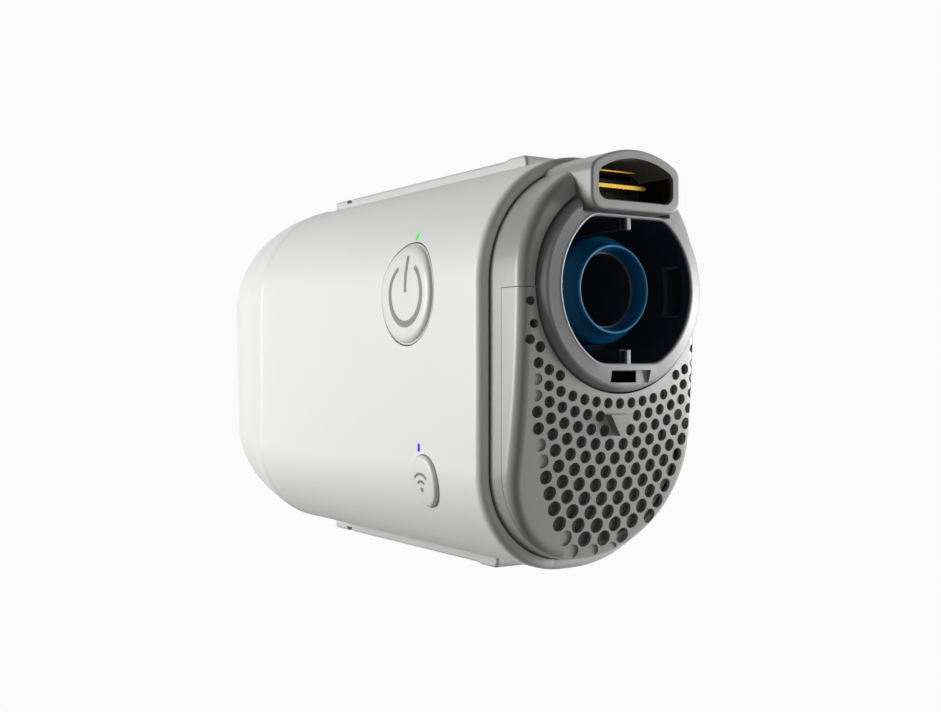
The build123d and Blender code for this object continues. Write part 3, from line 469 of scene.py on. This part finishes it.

# Latch slot: the deep hole in the ring that the tube's latch drops into. A thin
# pocket of black nylon lines it: painted shade for the dark of the deep hole.
slot_size = (0.0085, 0.0025, 0.0064)
slot_middle = (collar_front - 0.00528, flat_plain - 0.0023, outlet_z + 0.00075)
slot_mouth_x = collar_front - 0.002
slot_wall = 0.0001
nylon_black = surfaced(
    "satin_nylon_black", "#131416", "#1A1B1D", rough=0.42, grain_mm=0.3, depth_mm=0.006
)
# The black pocket is painted shade, where the deep hole lies dark.
slot_painted_shade = bmesh.new()
block(slot_painted_shade, slot_size, slot_middle)
open_end = [face for face in slot_painted_shade.faces if face.calc_center_median().x > slot_mouth_x]
bmesh.ops.delete(slot_painted_shade, geom=open_end, context="FACES")
bmesh.ops.solidify(slot_painted_shade, geom=slot_painted_shade.faces, thickness=slot_wall)
place_piece("slot_painted_shade", "housing", slot_painted_shade, nylon_black)

# Outlet cuff: the blue air outlet that seals on the tube. Moulded silicone,
# flared back from a thin lip, which lets a little light into its edge. The
# paler blue on the lip's edge is a painted highlight.
cuff_back, cuff_tip = (corner.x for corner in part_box("outlet_cuff"))
rim_highlight_from = cuff_tip - 0.00055
rim_highlight_to = cuff_tip - 0.00015
dust_to_a_mm = 0.9
back_mm = cuff_back * 1000
tip_mm = cuff_tip * 1000
flange_front_mm = 47.2
flange_back_mm = 45.6
flange_radius_mm = 12.5
cuff_radius_mm = 10.0
neck_radius_mm = 8.2
bore_radius_mm = 7.0
cuff_blue, tree, shader = started(
    "moulded_blue_silicone",
    IOR=1.42,
    Subsurface_Weight=0.12,
    Subsurface_Scale=0.001,
    Subsurface_Radius=(0.2, 0.6, 1.0),
)
place = add(tree, "ShaderNodeTexCoord").outputs["Object"]
along = add(tree, "ShaderNodeSeparateXYZ", {"Vector": place})
# The lip's edge is mixed to a paler blue: a painted highlight.
painted_rim_highlight = add(
    tree,
    "ShaderNodeMapRange",
    {"Value": along.outputs["X"]},
    From_Min=rim_highlight_from,
    From_Max=rim_highlight_to,
)
tint = add(tree, "ShaderNodeMix", {"Factor": painted_rim_highlight.outputs["Result"]}, data_type="RGBA")
tint.inputs[6].default_value = linear("#17699C")
tint.inputs[7].default_value = linear("#4FA6D8")
tree.links.new(tint.outputs[2], shader.inputs["Base Color"])
dust = add(
    tree, "ShaderNodeTexNoise", {"Vector": place}, Scale=1000 * dust_to_a_mm, Detail=2.0
).outputs["Fac"]
gloss = add(tree, "ShaderNodeMapRange", {"Value": dust}, To_Min=0.28, To_Max=0.42)
tree.links.new(gloss.outputs["Result"], shader.inputs["Roughness"])
cuff_profile = (
    (back_mm, bore_radius_mm),
    (tip_mm - 3.0, bore_radius_mm),
    (tip_mm - 1.8, 7.15),
    (tip_mm - 0.9, 7.42),
    (tip_mm - 0.3, 7.62),
    (tip_mm - 0.05, 7.72),
    (tip_mm, 7.84),
    (tip_mm - 0.08, 8.0),
    (tip_mm - 0.35, 8.1),
    (tip_mm - 0.9, 8.22),
    (tip_mm - 1.5, 8.46),
    (tip_mm - 2.2, 8.92),
    (tip_mm - 2.9, 9.46),
    (tip_mm - 3.4, 9.78),
    (tip_mm - 3.9, 9.95),
    (tip_mm - 4.5, cuff_radius_mm),
    (flange_front_mm, cuff_radius_mm),
    (flange_front_mm, flange_radius_mm),
    (flange_back_mm, flange_radius_mm),
    (flange_back_mm, neck_radius_mm),
    (back_mm, neck_radius_mm),
)


def turned(points, pairs, centre, axis, steps):
    """A full turn of a profile: its points, and the pairs of them that are joined."""
    surface = bmesh.new()
    verts = [surface.verts.new(point) for point in points]
    edges = [surface.edges.new((verts[a], verts[b])) for a, b in pairs]
    bmesh.ops.spin(
        surface,
        geom=verts + edges,
        cent=centre,
        axis=axis,
        angle=math.radians(360),
        steps=steps,
        use_merge=True,
        use_duplicate=False,
    )
    bmesh.ops.remove_doubles(surface, verts=surface.verts, dist=1e-7)
    bmesh.ops.recalc_face_normals(surface, faces=surface.faces)
    return surface


def outlet_ring(profile_mm):
    """A ring round the outlet axis, from a closed profile of x and radius in mm."""
    points = [(x / 1000, outlet_y, outlet_z + radius / 1000) for x, radius in profile_mm]
    pairs = [(i - 1, i) for i in range(len(points))]
    return turned(points, pairs, (0, outlet_y, outlet_z), (1, 0, 0), steps=96)


cuff = place_piece(
    "outlet_cuff_surface",
    "housing",
    outlet_ring(cuff_profile),
    cuff_blue,
    sharp=40,
)
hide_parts("outlet_cuff")

# Outlet nose: the hard black pipe inside the cuff, which gives it its shape.
# It stops short of the lip, so that only the soft part touches the tube.
nose_back_mm = 44.1
nose_tip_mm = tip_mm - 3.05
nose_profile = (
    (nose_back_mm, 6.5),
    (tip_mm - 3.3, 6.5),
    (nose_tip_mm, 6.7),
    (nose_tip_mm, 6.97),
    (nose_back_mm, 6.97),
)
nose = outlet_ring(nose_profile)
place_piece("outlet_nose", "housing", nose, socket_black)

# Outlet duct, coupling and mount: soft silicone and rubber mouldings that
# carry the air and keep the blower's hum from the case. Dull, faintly mottled.
duct_silicone = surfaced(
    "moulded_silicone_grey", "#8E8E8A", "#9A9A96", rough=0.62, grain_mm=0.6, depth_mm=0.01
)
dress(duct_silicone, "outlet_duct")
mount_rubber = surfaced(
    "moulded_tpe_black", "#232325", "#2D2D2F", rough=0.74, grain_mm=0.4, depth_mm=0.015
)
dress(mount_rubber, "blower_coupling", "blower_mount")

# Flow screen: a honeycomb that straightens the air before the flow sensor,
# moulded in natural polypropylene, which is milky and a little waxy.
natural_pp = surfaced(
    "natural_polypropylene", "#D2D1CB", "#DCDBD5", rough=0.48, grain_mm=0.5, depth_mm=0.006
)
dress(natural_pp, "flow_screen")

# Blower housing: two halves of the volute, in glass-filled nylon. The glass
# fibres come to the surface as short pale streaks.
glass_nylon = surfaced(
    "glass_filled_nylon",
    "#252527",
    "#363638",
    rough=0.5,
    grain_mm=0.12,
    depth_mm=0.012,
    stretch=(1, 5, 1),
)
dress(glass_nylon, "blower_lower_housing", "blower_upper_housing")

# Impeller: a balanced moulding in white polyester, smooth to keep the air
# attached to its blades.
impeller_pbt = surfaced(
    "moulded_pbt_white", "#C9C9C4", "#D5D5D0", rough=0.34, grain_mm=0.4, depth_mm=0.003
)
dress(impeller_pbt, "impeller")

# Shaft and bearings: bearing steel, ground round the axis, so that the light
# breaks into fine rings.
ground_steel = surfaced(
    "ground_bearing_steel",
    "#9A9B9E",
    "#AAABAE",
    rough=0.24,
    grain_mm=0.15,
    depth_mm=0.002,
    metal=1.0,
    stretch=(1, 1, 12),
)
dress(ground_steel, "rotor_shaft", "shaft_bearings")

# Magnet: a ring of bonded ferrite, pressed to shape and fixed on the shaft.
# Its thin dark coat is slightly grainy, with a low even gloss.
ferrite = surfaced(
    "coated_ferrite", "#303033", "#3C3C40", rough=0.55, grain_mm=0.25, depth_mm=0.01
)
dress(ferrite, "rotor_magnet")


# Stator: a stack of stamped steel sheets, each 0.35 mm thick, whose edges show
# as fine level lines.
def banded(name, low_hex, high_hex, rough, band_mm):
    """A metal of fine level bands, such as stacked sheets or wound wire."""
    material, tree, shader = started(name, Metallic=1.0, Roughness=rough)
    place = add(tree, "ShaderNodeTexCoord").outputs["Object"]
    # A wave of the pattern is pi / 10 of its unit long.
    bands = add(
        tree,
        "ShaderNodeTexWave",
        {"Vector": place},
        bands_direction="Z",
        Scale=100 * math.pi / band_mm,
    ).outputs["Fac"]
    shade = add(tree, "ShaderNodeMix", {"Factor": bands}, data_type="RGBA")
    shade.inputs[6].default_value = linear(low_hex)
    shade.inputs[7].default_value = linear(high_hex)
    tree.links.new(shade.outputs[2], shader.inputs["Base Color"])
    bump = add(tree, "ShaderNodeBump", {"Height": bands}, Strength=0.6, Distance=0.00006)
    tree.links.new(bump.outputs["Normal"], shader.inputs["Normal"])
    return material


lamination = banded(
    "stamped_lamination_steel", "#3E3E41", "#77777B", rough=0.42, band_mm=0.35
)
dress(lamination, "stator_core")

# Coils: enamelled copper wire 0.4 mm thick, wound in close turns on each tooth
# of the stator. Their bright and dark bands are painted highlight on each turn
# and painted shade between turns.
copper_wire = banded("enamelled_copper_wire", "#6E3216", "#C77A45", rough=0.28, band_mm=0.4)
dress(copper_wire, "stator_coils")

# Intake box and lid: the quiet path from the filter to the blower, moulded in
# plain ABS straight from a fine-sanded tool, because nobody sees it.
intake_abs = surfaced(
    "sanded_abs_pale_grey", "#C2C2C0", "#CBCBC9", rough=0.52, grain_mm=0.3, depth_mm=0.012
)
dress(intake_abs, "intake_box", "intake_lid")

# Muffler foam: open-cell polyurethane, about 2 cells to the millimetre, so the
# face is a net of small pits, darkened in their middles as painted shade.
cells_to_a_mm = 2.0
foam, tree, shader = started("open_cell_foam", Roughness=0.96)
place = add(tree, "ShaderNodeTexCoord").outputs["Object"]
cells = add(
    tree, "ShaderNodeTexVoronoi", {"Vector": place}, Scale=1000 * cells_to_a_mm
).outputs["Distance"]
# The dark in each cell's middle is painted shade in the pits.
tint = add(tree, "ShaderNodeValToRGB", {"Fac": cells})
pit_shade_stop, wall_stop = tint.color_ramp.elements
pit_shade_stop.color = linear("#161617")
wall_stop.color = linear("#46464A")
tree.links.new(tint.outputs["Color"], shader.inputs["Base Color"])
bump = add(tree, "ShaderNodeBump", {"Height": cells}, Strength=0.9, Distance=0.0003)
tree.links.new(bump.outputs["Normal"], shader.inputs["Normal"])
dress(foam, "muffler_foam")

# Main board: glass epoxy laminate under green solder mask, with copper tracks
# about 0.6 mm wide that show through the mask as paler green lines. They follow
# a brick pattern, whose rows are a quarter of its unit apart.
brick_unit_mm = 6.25
track_width_mm = 0.625
board_green, tree, shader = started("solder_masked_laminate", Roughness=0.3)
place = add(tree, "ShaderNodeTexCoord").outputs["Object"]
tracks = add(
    tree,
    "ShaderNodeTexBrick",
    {"Vector": place},
    Scale=1000 / brick_unit_mm,
    Mortar_Size=track_width_mm / brick_unit_mm / 2,
    offset=0.37,
    Color1=linear("#0C4A2A"),
    Color2=linear("#0E5230"),
    Mortar=linear("#2E7A4E"),
)
tree.links.new(tracks.outputs["Color"], shader.inputs["Base Color"])
bump = add(
    tree, "ShaderNodeBump", {"Height": tracks.outputs["Fac"]}, Strength=0.4, Distance=0.00003
)
tree.links.new(bump.outputs["Normal"], shader.inputs["Normal"])
dress(board_green, "main_board")

# Parts on the board: black epoxy chips, drawn aluminium cans, the sensor's
# nylon case, and the two switches with their pale acetal plungers.
chip_epoxy = surfaced(
    "moulded_epoxy_black", "#161617", "#1E1E20", rough=0.6, grain_mm=0.2, depth_mm=0.008
)
dress(chip_epoxy, "board_chips")
drawn_can = surfaced(
    "drawn_aluminium",
    "#B4B5B8",
    "#C6C7CA",
    rough=0.3,
    grain_mm=0.2,
    depth_mm=0.003,
    metal=1.0,
    stretch=(4, 4, 1),
)
dress(drawn_can, "board_capacitors")
sensor_nylon = surfaced(
    "moulded_nylon_black", "#1C1C1E", "#262628", rough=0.5, grain_mm=0.3, depth_mm=0.008
)
dress(sensor_nylon, "pressure_sensor")
switch_nylon = surfaced(
    "moulded_switch_nylon", "#18181A", "#212123", rough=0.46, grain_mm=0.25, depth_mm=0.006
)
dress(switch_nylon, "power_switch", "wireless_switch")
plunger_acetal = surfaced(
    "moulded_acetal_cream", "#CFC9B8", "#D9D3C2", rough=0.32, grain_mm=0.3, depth_mm=0.003
)
dress(plunger_acetal, "power_switch_plunger", "wireless_switch_plunger")

# Sensor tubes and leads: extruded clear silicone, and stranded wire in PVC.
# Extrusion leaves them smooth along their length and faintly streaked.
tube_clear = surfaced(
    "extruded_silicone", "#C8C8C0", "#D6D6CE", rough=0.3, grain_mm=0.5, depth_mm=0.003
)
tube_shader = tube_clear.node_tree.nodes["Principled BSDF"]
tube_shader.inputs["Transmission Weight"].default_value = 0.35
dress(tube_clear, "sensor_tubes")
black_pvc = surfaced(
    "extruded_pvc_black", "#141415", "#1D1D1F", rough=0.36, grain_mm=0.4, depth_mm=0.003
)
dress(black_pvc, "motor_leads")
red_pvc = surfaced(
    "extruded_pvc_red", "#8A1612", "#9C1E18", rough=0.36, grain_mm=0.4, depth_mm=0.003
)
dress(red_pvc, "inlet_leads")

# Power inlet: gold plated bronze blades in a black nylon carrier at the back of
# the hood. A thin black skirt, painted shade for the hood's dark inside, lines
# the hood, apart from its upper wall, which stays bare grey.
insert_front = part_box("inlet_insert")[1].x
hood_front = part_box("end_bezel")[1].x
skirt_set_back = 0.0007
skirt_wall = 0.00018
blade_slots_y = (0.0305, 0.0349)
blade_slots_reach = 0.0065
upper_blade_slimming = (1, 0.3, 0.8)
# The skirt is painted shade: black walls where the hood's inside lies in shade.
shade_skirt = joined_copy("inlet_insert")
finish_node("inlet_insert", "inlet_carrier", nylon_black)
not_skirt = []
for face in shade_skirt.faces:
    middle = face.calc_center_median()
    is_end = abs(face.normal.x) > 0.5
    is_roof = face.normal.y > 0.55
    is_blade_slot = (
        abs(middle.z - outlet_z) < blade_slots_reach
        and blade_slots_y[0] < middle.y < blade_slots_y[1]
    )
    if is_end or is_roof or is_blade_slot:
        not_skirt.append(face)
bmesh.ops.delete(shade_skirt, geom=not_skirt, context="FACES")
mouth_side = [vert for vert in shade_skirt.verts if vert.co.x > insert_front - 1e-5]
skirt_reach = hood_front - skirt_set_back - insert_front
bmesh.ops.translate(shade_skirt, verts=mouth_side, vec=(skirt_reach, 0, 0))
bmesh.ops.solidify(shade_skirt, geom=shade_skirt.faces, thickness=skirt_wall)
place_piece("inlet_painted_shade", "housing", shade_skirt, nylon_black)
contact_gold = surfaced(
    "gold_plated_bronze",
    "#C39A3C",
    "#D8B458",
    rough=0.26,
    grain_mm=0.4,
    depth_mm=0.002,
    metal=1.0,
)
blade_low, blade_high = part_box("inlet_contacts")
between_blades = (blade_low.y + blade_high.y) / 2
to_blade_top = Matrix.Translation((0, -blade_high.y, -blade_high.z))
blades = joined_copy("inlet_contacts")
upper_blade = [vert for vert in blades.verts if vert.co.y > between_blades]
bmesh.ops.scale(blades, verts=upper_blade, vec=upper_blade_slimming, space=to_blade_top)
contacts = place_piece("inlet_blades", "housing", blades, contact_gold)
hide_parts("inlet_contacts")

# Buttons: low caps in the shell's blend, from a mould with a slightly closer
# grain. The large one has a level brim and a low raised middle, and its top
# follows the curve of the shell beside it.
cap_low, cap_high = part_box("power_button")
cap_x = (cap_low.x + cap_high.x) / 2
cap_y = (cap_low.y + cap_high.y) / 2
cap_proud = 0.0009
cap_top_depth = 0.001
face_z = cap_high.z - cap_proud
stem_end_mm = (cap_low.z - face_z) * 1000
shell_beside_x = cap_x - 0.0112
high_above = 0.1
button_white = surfaced(
    "satin_pc_abs_button", "#E8E8E6", "#EDEDEB", rough=0.40, grain_mm=0.25, depth_mm=0.008
)
cap_profile = (
    (0.0, 0.75),
    (2.0, 0.75),
    (4.0, 0.75),
    (7.0, 0.75),
    (7.9, 0.75),
    (8.4, 0.725),
    (8.85, 0.62),
    (9.2, 0.44),
    (9.4, 0.22),
    (9.48, 0.0),
    (9.55, -0.06),
    (9.74, -0.07),
    (9.82, -0.16),
    (9.82, -4.0),
    (1.8, -4.0),
    (1.8, stem_end_mm),
    (0.0, stem_end_mm),
)
cap_surface = turned(
    [(cap_x + radius / 1000, cap_y, face_z + height / 1000) for radius, height in cap_profile],
    [(i, i + 1) for i in range(len(cap_profile) - 1)],
    (cap_x, cap_y, 0),
    (0, 0, 1),
    steps=128,
)


def height_below(face, x, y):
    """The height of a surface straight below a point high above it."""
    hit = face.ray_cast(Vector((x, y, high_above)), Vector((0, 0, -1)))
    return hit[0].z


shell = joined_copy("top_cover")
shell_face = BVHTree.FromBMesh(shell)
shell.free()
for vert in cap_surface.verts:
    if vert.co.z > face_z - cap_top_depth:
        vert.co.z += height_below(shell_face, shell_beside_x, vert.co.y) - face_z
power_cap = place_piece(
    "power_cap", "power_press", cap_surface, button_white, sharp=40
)
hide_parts("power_button")
wireless_cap = finish_node("wireless_button", "wireless_cap", button_white)

# Signs: grey ink, pad printed on the caps as a thin film that follows their
# surface. The large cap has the common standby sign, whose ring is thicker at
# its foot than at its ends, and the small cap has plain radio arcs.
ink_thickness = 0.00004
power_sign_middle = (cap_x + 0.0006, cap_y)
wireless_sign_middle = (0.0348, -0.0235)
ink_grey = surfaced(
    "pad_printed_ink", "#7C7C7C", "#868686", rough=0.5, grain_mm=0.2, depth_mm=0.002
)


def printed(name, cap_piece, body, middle, arcs, bars):
    """A sign on a cap, of arcs (radius, stroke at foot and ends, gap, gap's side) and bars."""
    film = bmesh.new()
    for radius, foot_stroke, end_stroke, gap, gap_side in arcs:
        start = math.radians(gap_side + gap)
        sweep = math.radians(360 - 2 * gap)
        direction = Vector((math.cos(start), math.sin(start), 0))
        arc = bmesh.new()
        ends = [arc.verts.new(direction * (radius + side * end_stroke / 2)) for side in (-1, 1)]
        arc.edges.new(ends)
        bmesh.ops.spin(
            arc,
            geom=ends + list(arc.edges),
            cent=(0, 0, 0),
            axis=(0, 0, 1),
            angle=sweep,
            steps=72,
        )
        for vert in arc.verts:
            reach = vert.co.length
            side = 1 if reach > radius else -1
            footward = (1 - vert.co.y / reach) / 2 if gap_side == 90 else 0
            stroke = end_stroke + (foot_stroke - end_stroke) * footward
            vert.co *= (radius + side * stroke / 2) / reach
        arc_mesh = bpy.data.meshes.new("arc")
        arc.to_mesh(arc_mesh)
        arc.free()
        film.from_mesh(arc_mesh)
        bpy.data.meshes.remove(arc_mesh)
    for low_y, high_y, width in bars:
        bar = bmesh.ops.create_grid(film, x_segments=2, y_segments=16, size=1.0)["verts"]
        bmesh.ops.scale(film, verts=bar, vec=(width / 2, (high_y - low_y) / 2, 1))
        bmesh.ops.translate(film, verts=bar, vec=(0, (low_y + high_y) / 2, 0))
    bmesh.ops.translate(film, verts=film.verts, vec=(middle[0], middle[1], 0))
    bmesh.ops.recalc_face_normals(film, faces=film.faces)
    if sum(face.normal.z for face in film.faces) < 0:
        bmesh.ops.reverse_faces(film, faces=film.faces)
    under = bmesh.new()
    under.from_mesh(cap_piece.data)
    cap_face = BVHTree.FromBMesh(under)
    under.free()
    for vert in film.verts:
        vert.co.z = height_below(cap_face, vert.co.x, vert.co.y) - ink_thickness
    lifted = bmesh.ops.extrude_face_region(film, geom=list(film.faces))
    top = [item for item in lifted["geom"] if isinstance(item, bmesh.types.BMVert)]
    bmesh.ops.translate(film, verts=top, vec=(0, 0, 2 * ink_thickness))
    bmesh.ops.recalc_face_normals(film, faces=film.faces)
    place_piece(name, body, film, ink_grey)


printed(
    "power_sign",
    power_cap,
    "power_press",
    power_sign_middle,
    arcs=[(0.00585, 0.0013, 0.0008, 32, 90)],
    bars=[(0.0003, 0.0073, 0.0009)],
)
printed(
    "wireless_sign",
    wireless_cap,
    "wireless_press",
    wireless_sign_middle,
    arcs=[(0.0016, 0.0005, 0.0005, 135, -90), (0.0030, 0.0005, 0.0005, 135, -90)],
    bars=[(-0.0004, 0.0004, 0.0008)],
)

# Lights: clear acrylic slits, lit from the board behind them, with a faint
# haze in the moulding that mottles the light.
haze_to_a_mm = 1.8
for node, name, low_hex, high_hex, slot in (
    ("power_light_pipe", "power_light", "#00B414", "#10F028", "green_light"),
    ("wireless_light_pipe", "wireless_light", "#1414C8", "#3A3AF8", "blue_light"),
):
    lit, tree, shader = started(name + "_acrylic", Roughness=0.22, Emission_Strength=0.75)
    place = add(tree, "ShaderNodeTexCoord").outputs["Object"]
    haze = add(
        tree, "ShaderNodeTexNoise", {"Vector": place}, Scale=1000 * haze_to_a_mm, Detail=1.0
    ).outputs["Fac"]
    shade = add(tree, "ShaderNodeMix", {"Factor": haze}, data_type="RGBA")
    shade.inputs[6].default_value = linear(low_hex)
    shade.inputs[7].default_value = linear(high_hex)
    tree.links.new(shade.outputs[2], shader.inputs["Base Color"])
    tree.links.new(shade.outputs[2], shader.inputs["Emission Color"])
    finish_node(node, name, lit)

# Floor and backdrop: a pale sweep and a white room, which show as white to the
# camera and in reflections, and give the machine only a little of their light.
floor_white_share = 0.96
room_mirrored_share = 0.3
floor_data = bmesh.new()
bmesh.ops.create_grid(floor_data, x_segments=1, y_segments=1, size=3.0)
floor_mesh = bpy.data.meshes.new("floor")
floor_data.to_mesh(floor_mesh)
floor_data.free()
floor = bpy.data.objects.new("floor", floor_mesh)
bpy.context.scene.collection.objects.link(floor)
sweep, tree, shader = started("white_sweep", Base_Color=linear("#565656"), Roughness=0.9)
ray = add(tree, "ShaderNodeLightPath").outputs
seen = add(
    tree,
    "ShaderNodeMath",
    {0: ray["Is Camera Ray"], 1: ray["Is Glossy Ray"]},
    operation="MAXIMUM",
).outputs["Value"]
seen = add(
    tree, "ShaderNodeMath", {0: seen, 1: ray["Is Transmission Ray"]}, operation="MAXIMUM"
).outputs["Value"]
share = add(tree, "ShaderNodeMath", {0: seen}, operation="MULTIPLY")
share.inputs[1].default_value = floor_white_share
glow = add(tree, "ShaderNodeEmission", Strength=1.0)
mix = add(tree, "ShaderNodeMixShader", {"Fac": share.outputs["Value"]})
tree.links.new(shader.outputs["BSDF"], mix.inputs[1])
tree.links.new(glow.outputs["Emission"], mix.inputs[2])
tree.links.new(mix.outputs["Shader"], tree.nodes["Material Output"].inputs["Surface"])
floor_mesh.materials.append(sweep)

world = bpy.data.worlds.new("studio")
world.use_nodes = True
tree = world.node_tree
room = tree.nodes["Background"]
room.inputs["Color"].default_value = linear("#C8C8C8")
room.inputs["Strength"].default_value = 0.06
backdrop = add(tree, "ShaderNodeBackground", Strength=1.0)
ray = add(tree, "ShaderNodeLightPath").outputs
seen = add(
    tree,
    "ShaderNodeMath",
    {0: ray["Is Camera Ray"], 1: ray["Is Transmission Ray"]},
    operation="MAXIMUM",
).outputs["Value"]
mirrored = add(tree, "ShaderNodeMath", {0: ray["Is Glossy Ray"]}, operation="MULTIPLY")
mirrored.inputs[1].default_value = room_mirrored_share
seen = add(
    tree, "ShaderNodeMath", {0: seen, 1: mirrored.outputs["Value"]}, operation="MAXIMUM"
).outputs["Value"]
mix = add(tree, "ShaderNodeMixShader", {"Fac": seen})
tree.links.new(room.outputs["Background"], mix.inputs[1])
tree.links.new(backdrop.outputs["Background"], mix.inputs[2])
tree.links.new(mix.outputs["Shader"], tree.nodes["World Output"].inputs["Surface"])
bpy.context.scene.world = world


# Lamps: a broad soft lamp over the button face, a weak one in front of the
# outlet end, and a strip lamp low in front, which shines through the floor.
def lamp(name, place, target, width, height, watts):
    """A soft lamp that faces a point, out of the camera's sight."""
    data = bpy.data.lights.new(name, "AREA")
    data.shape = "RECTANGLE"
    data.size = width
    data.size_y = height
    data.energy = watts
    lamp_object = bpy.data.objects.new(name, data)
    lamp_object.location = place
    facing = (Vector(target) - Vector(place)).to_track_quat("-Z", "Y")
    lamp_object.rotation_euler = facing.to_euler()
    lamp_object.visible_camera = False
    bpy.context.scene.collection.objects.link(lamp_object)
    return lamp_object


lamp(
    "overhead",
    place=(-0.29, 0.06, 0.53),
    target=(-0.03, 0, 0.04),
    width=0.24,
    height=0.24,
    watts=3.45,
)
lamp(
    "end_fill",
    place=(0.60, 0.0, 0.16),
    target=(0.06, 0, 0.03),
    width=0.30,
    height=0.26,
    watts=0.3,
)
low_strip = lamp(
    "side_light",
    place=(0.25, 0.0, -0.38),
    target=(0.06, 0, 0.03),
    width=0.12,
    height=0.30,
    watts=2.1,
)
# The floor neither blocks the low lamp nor takes its light.
through_floor = bpy.data.collections.new("side_light_blockers")
through_floor.objects.link(floor)
through_floor.collection_objects[0].light_linking.link_state = "EXCLUDE"
low_strip.light_linking.blocker_collection = through_floor
low_strip.light_linking.receiver_collection = through_floor

bpy.context.scene.view_settings.view_transform = "Standard"
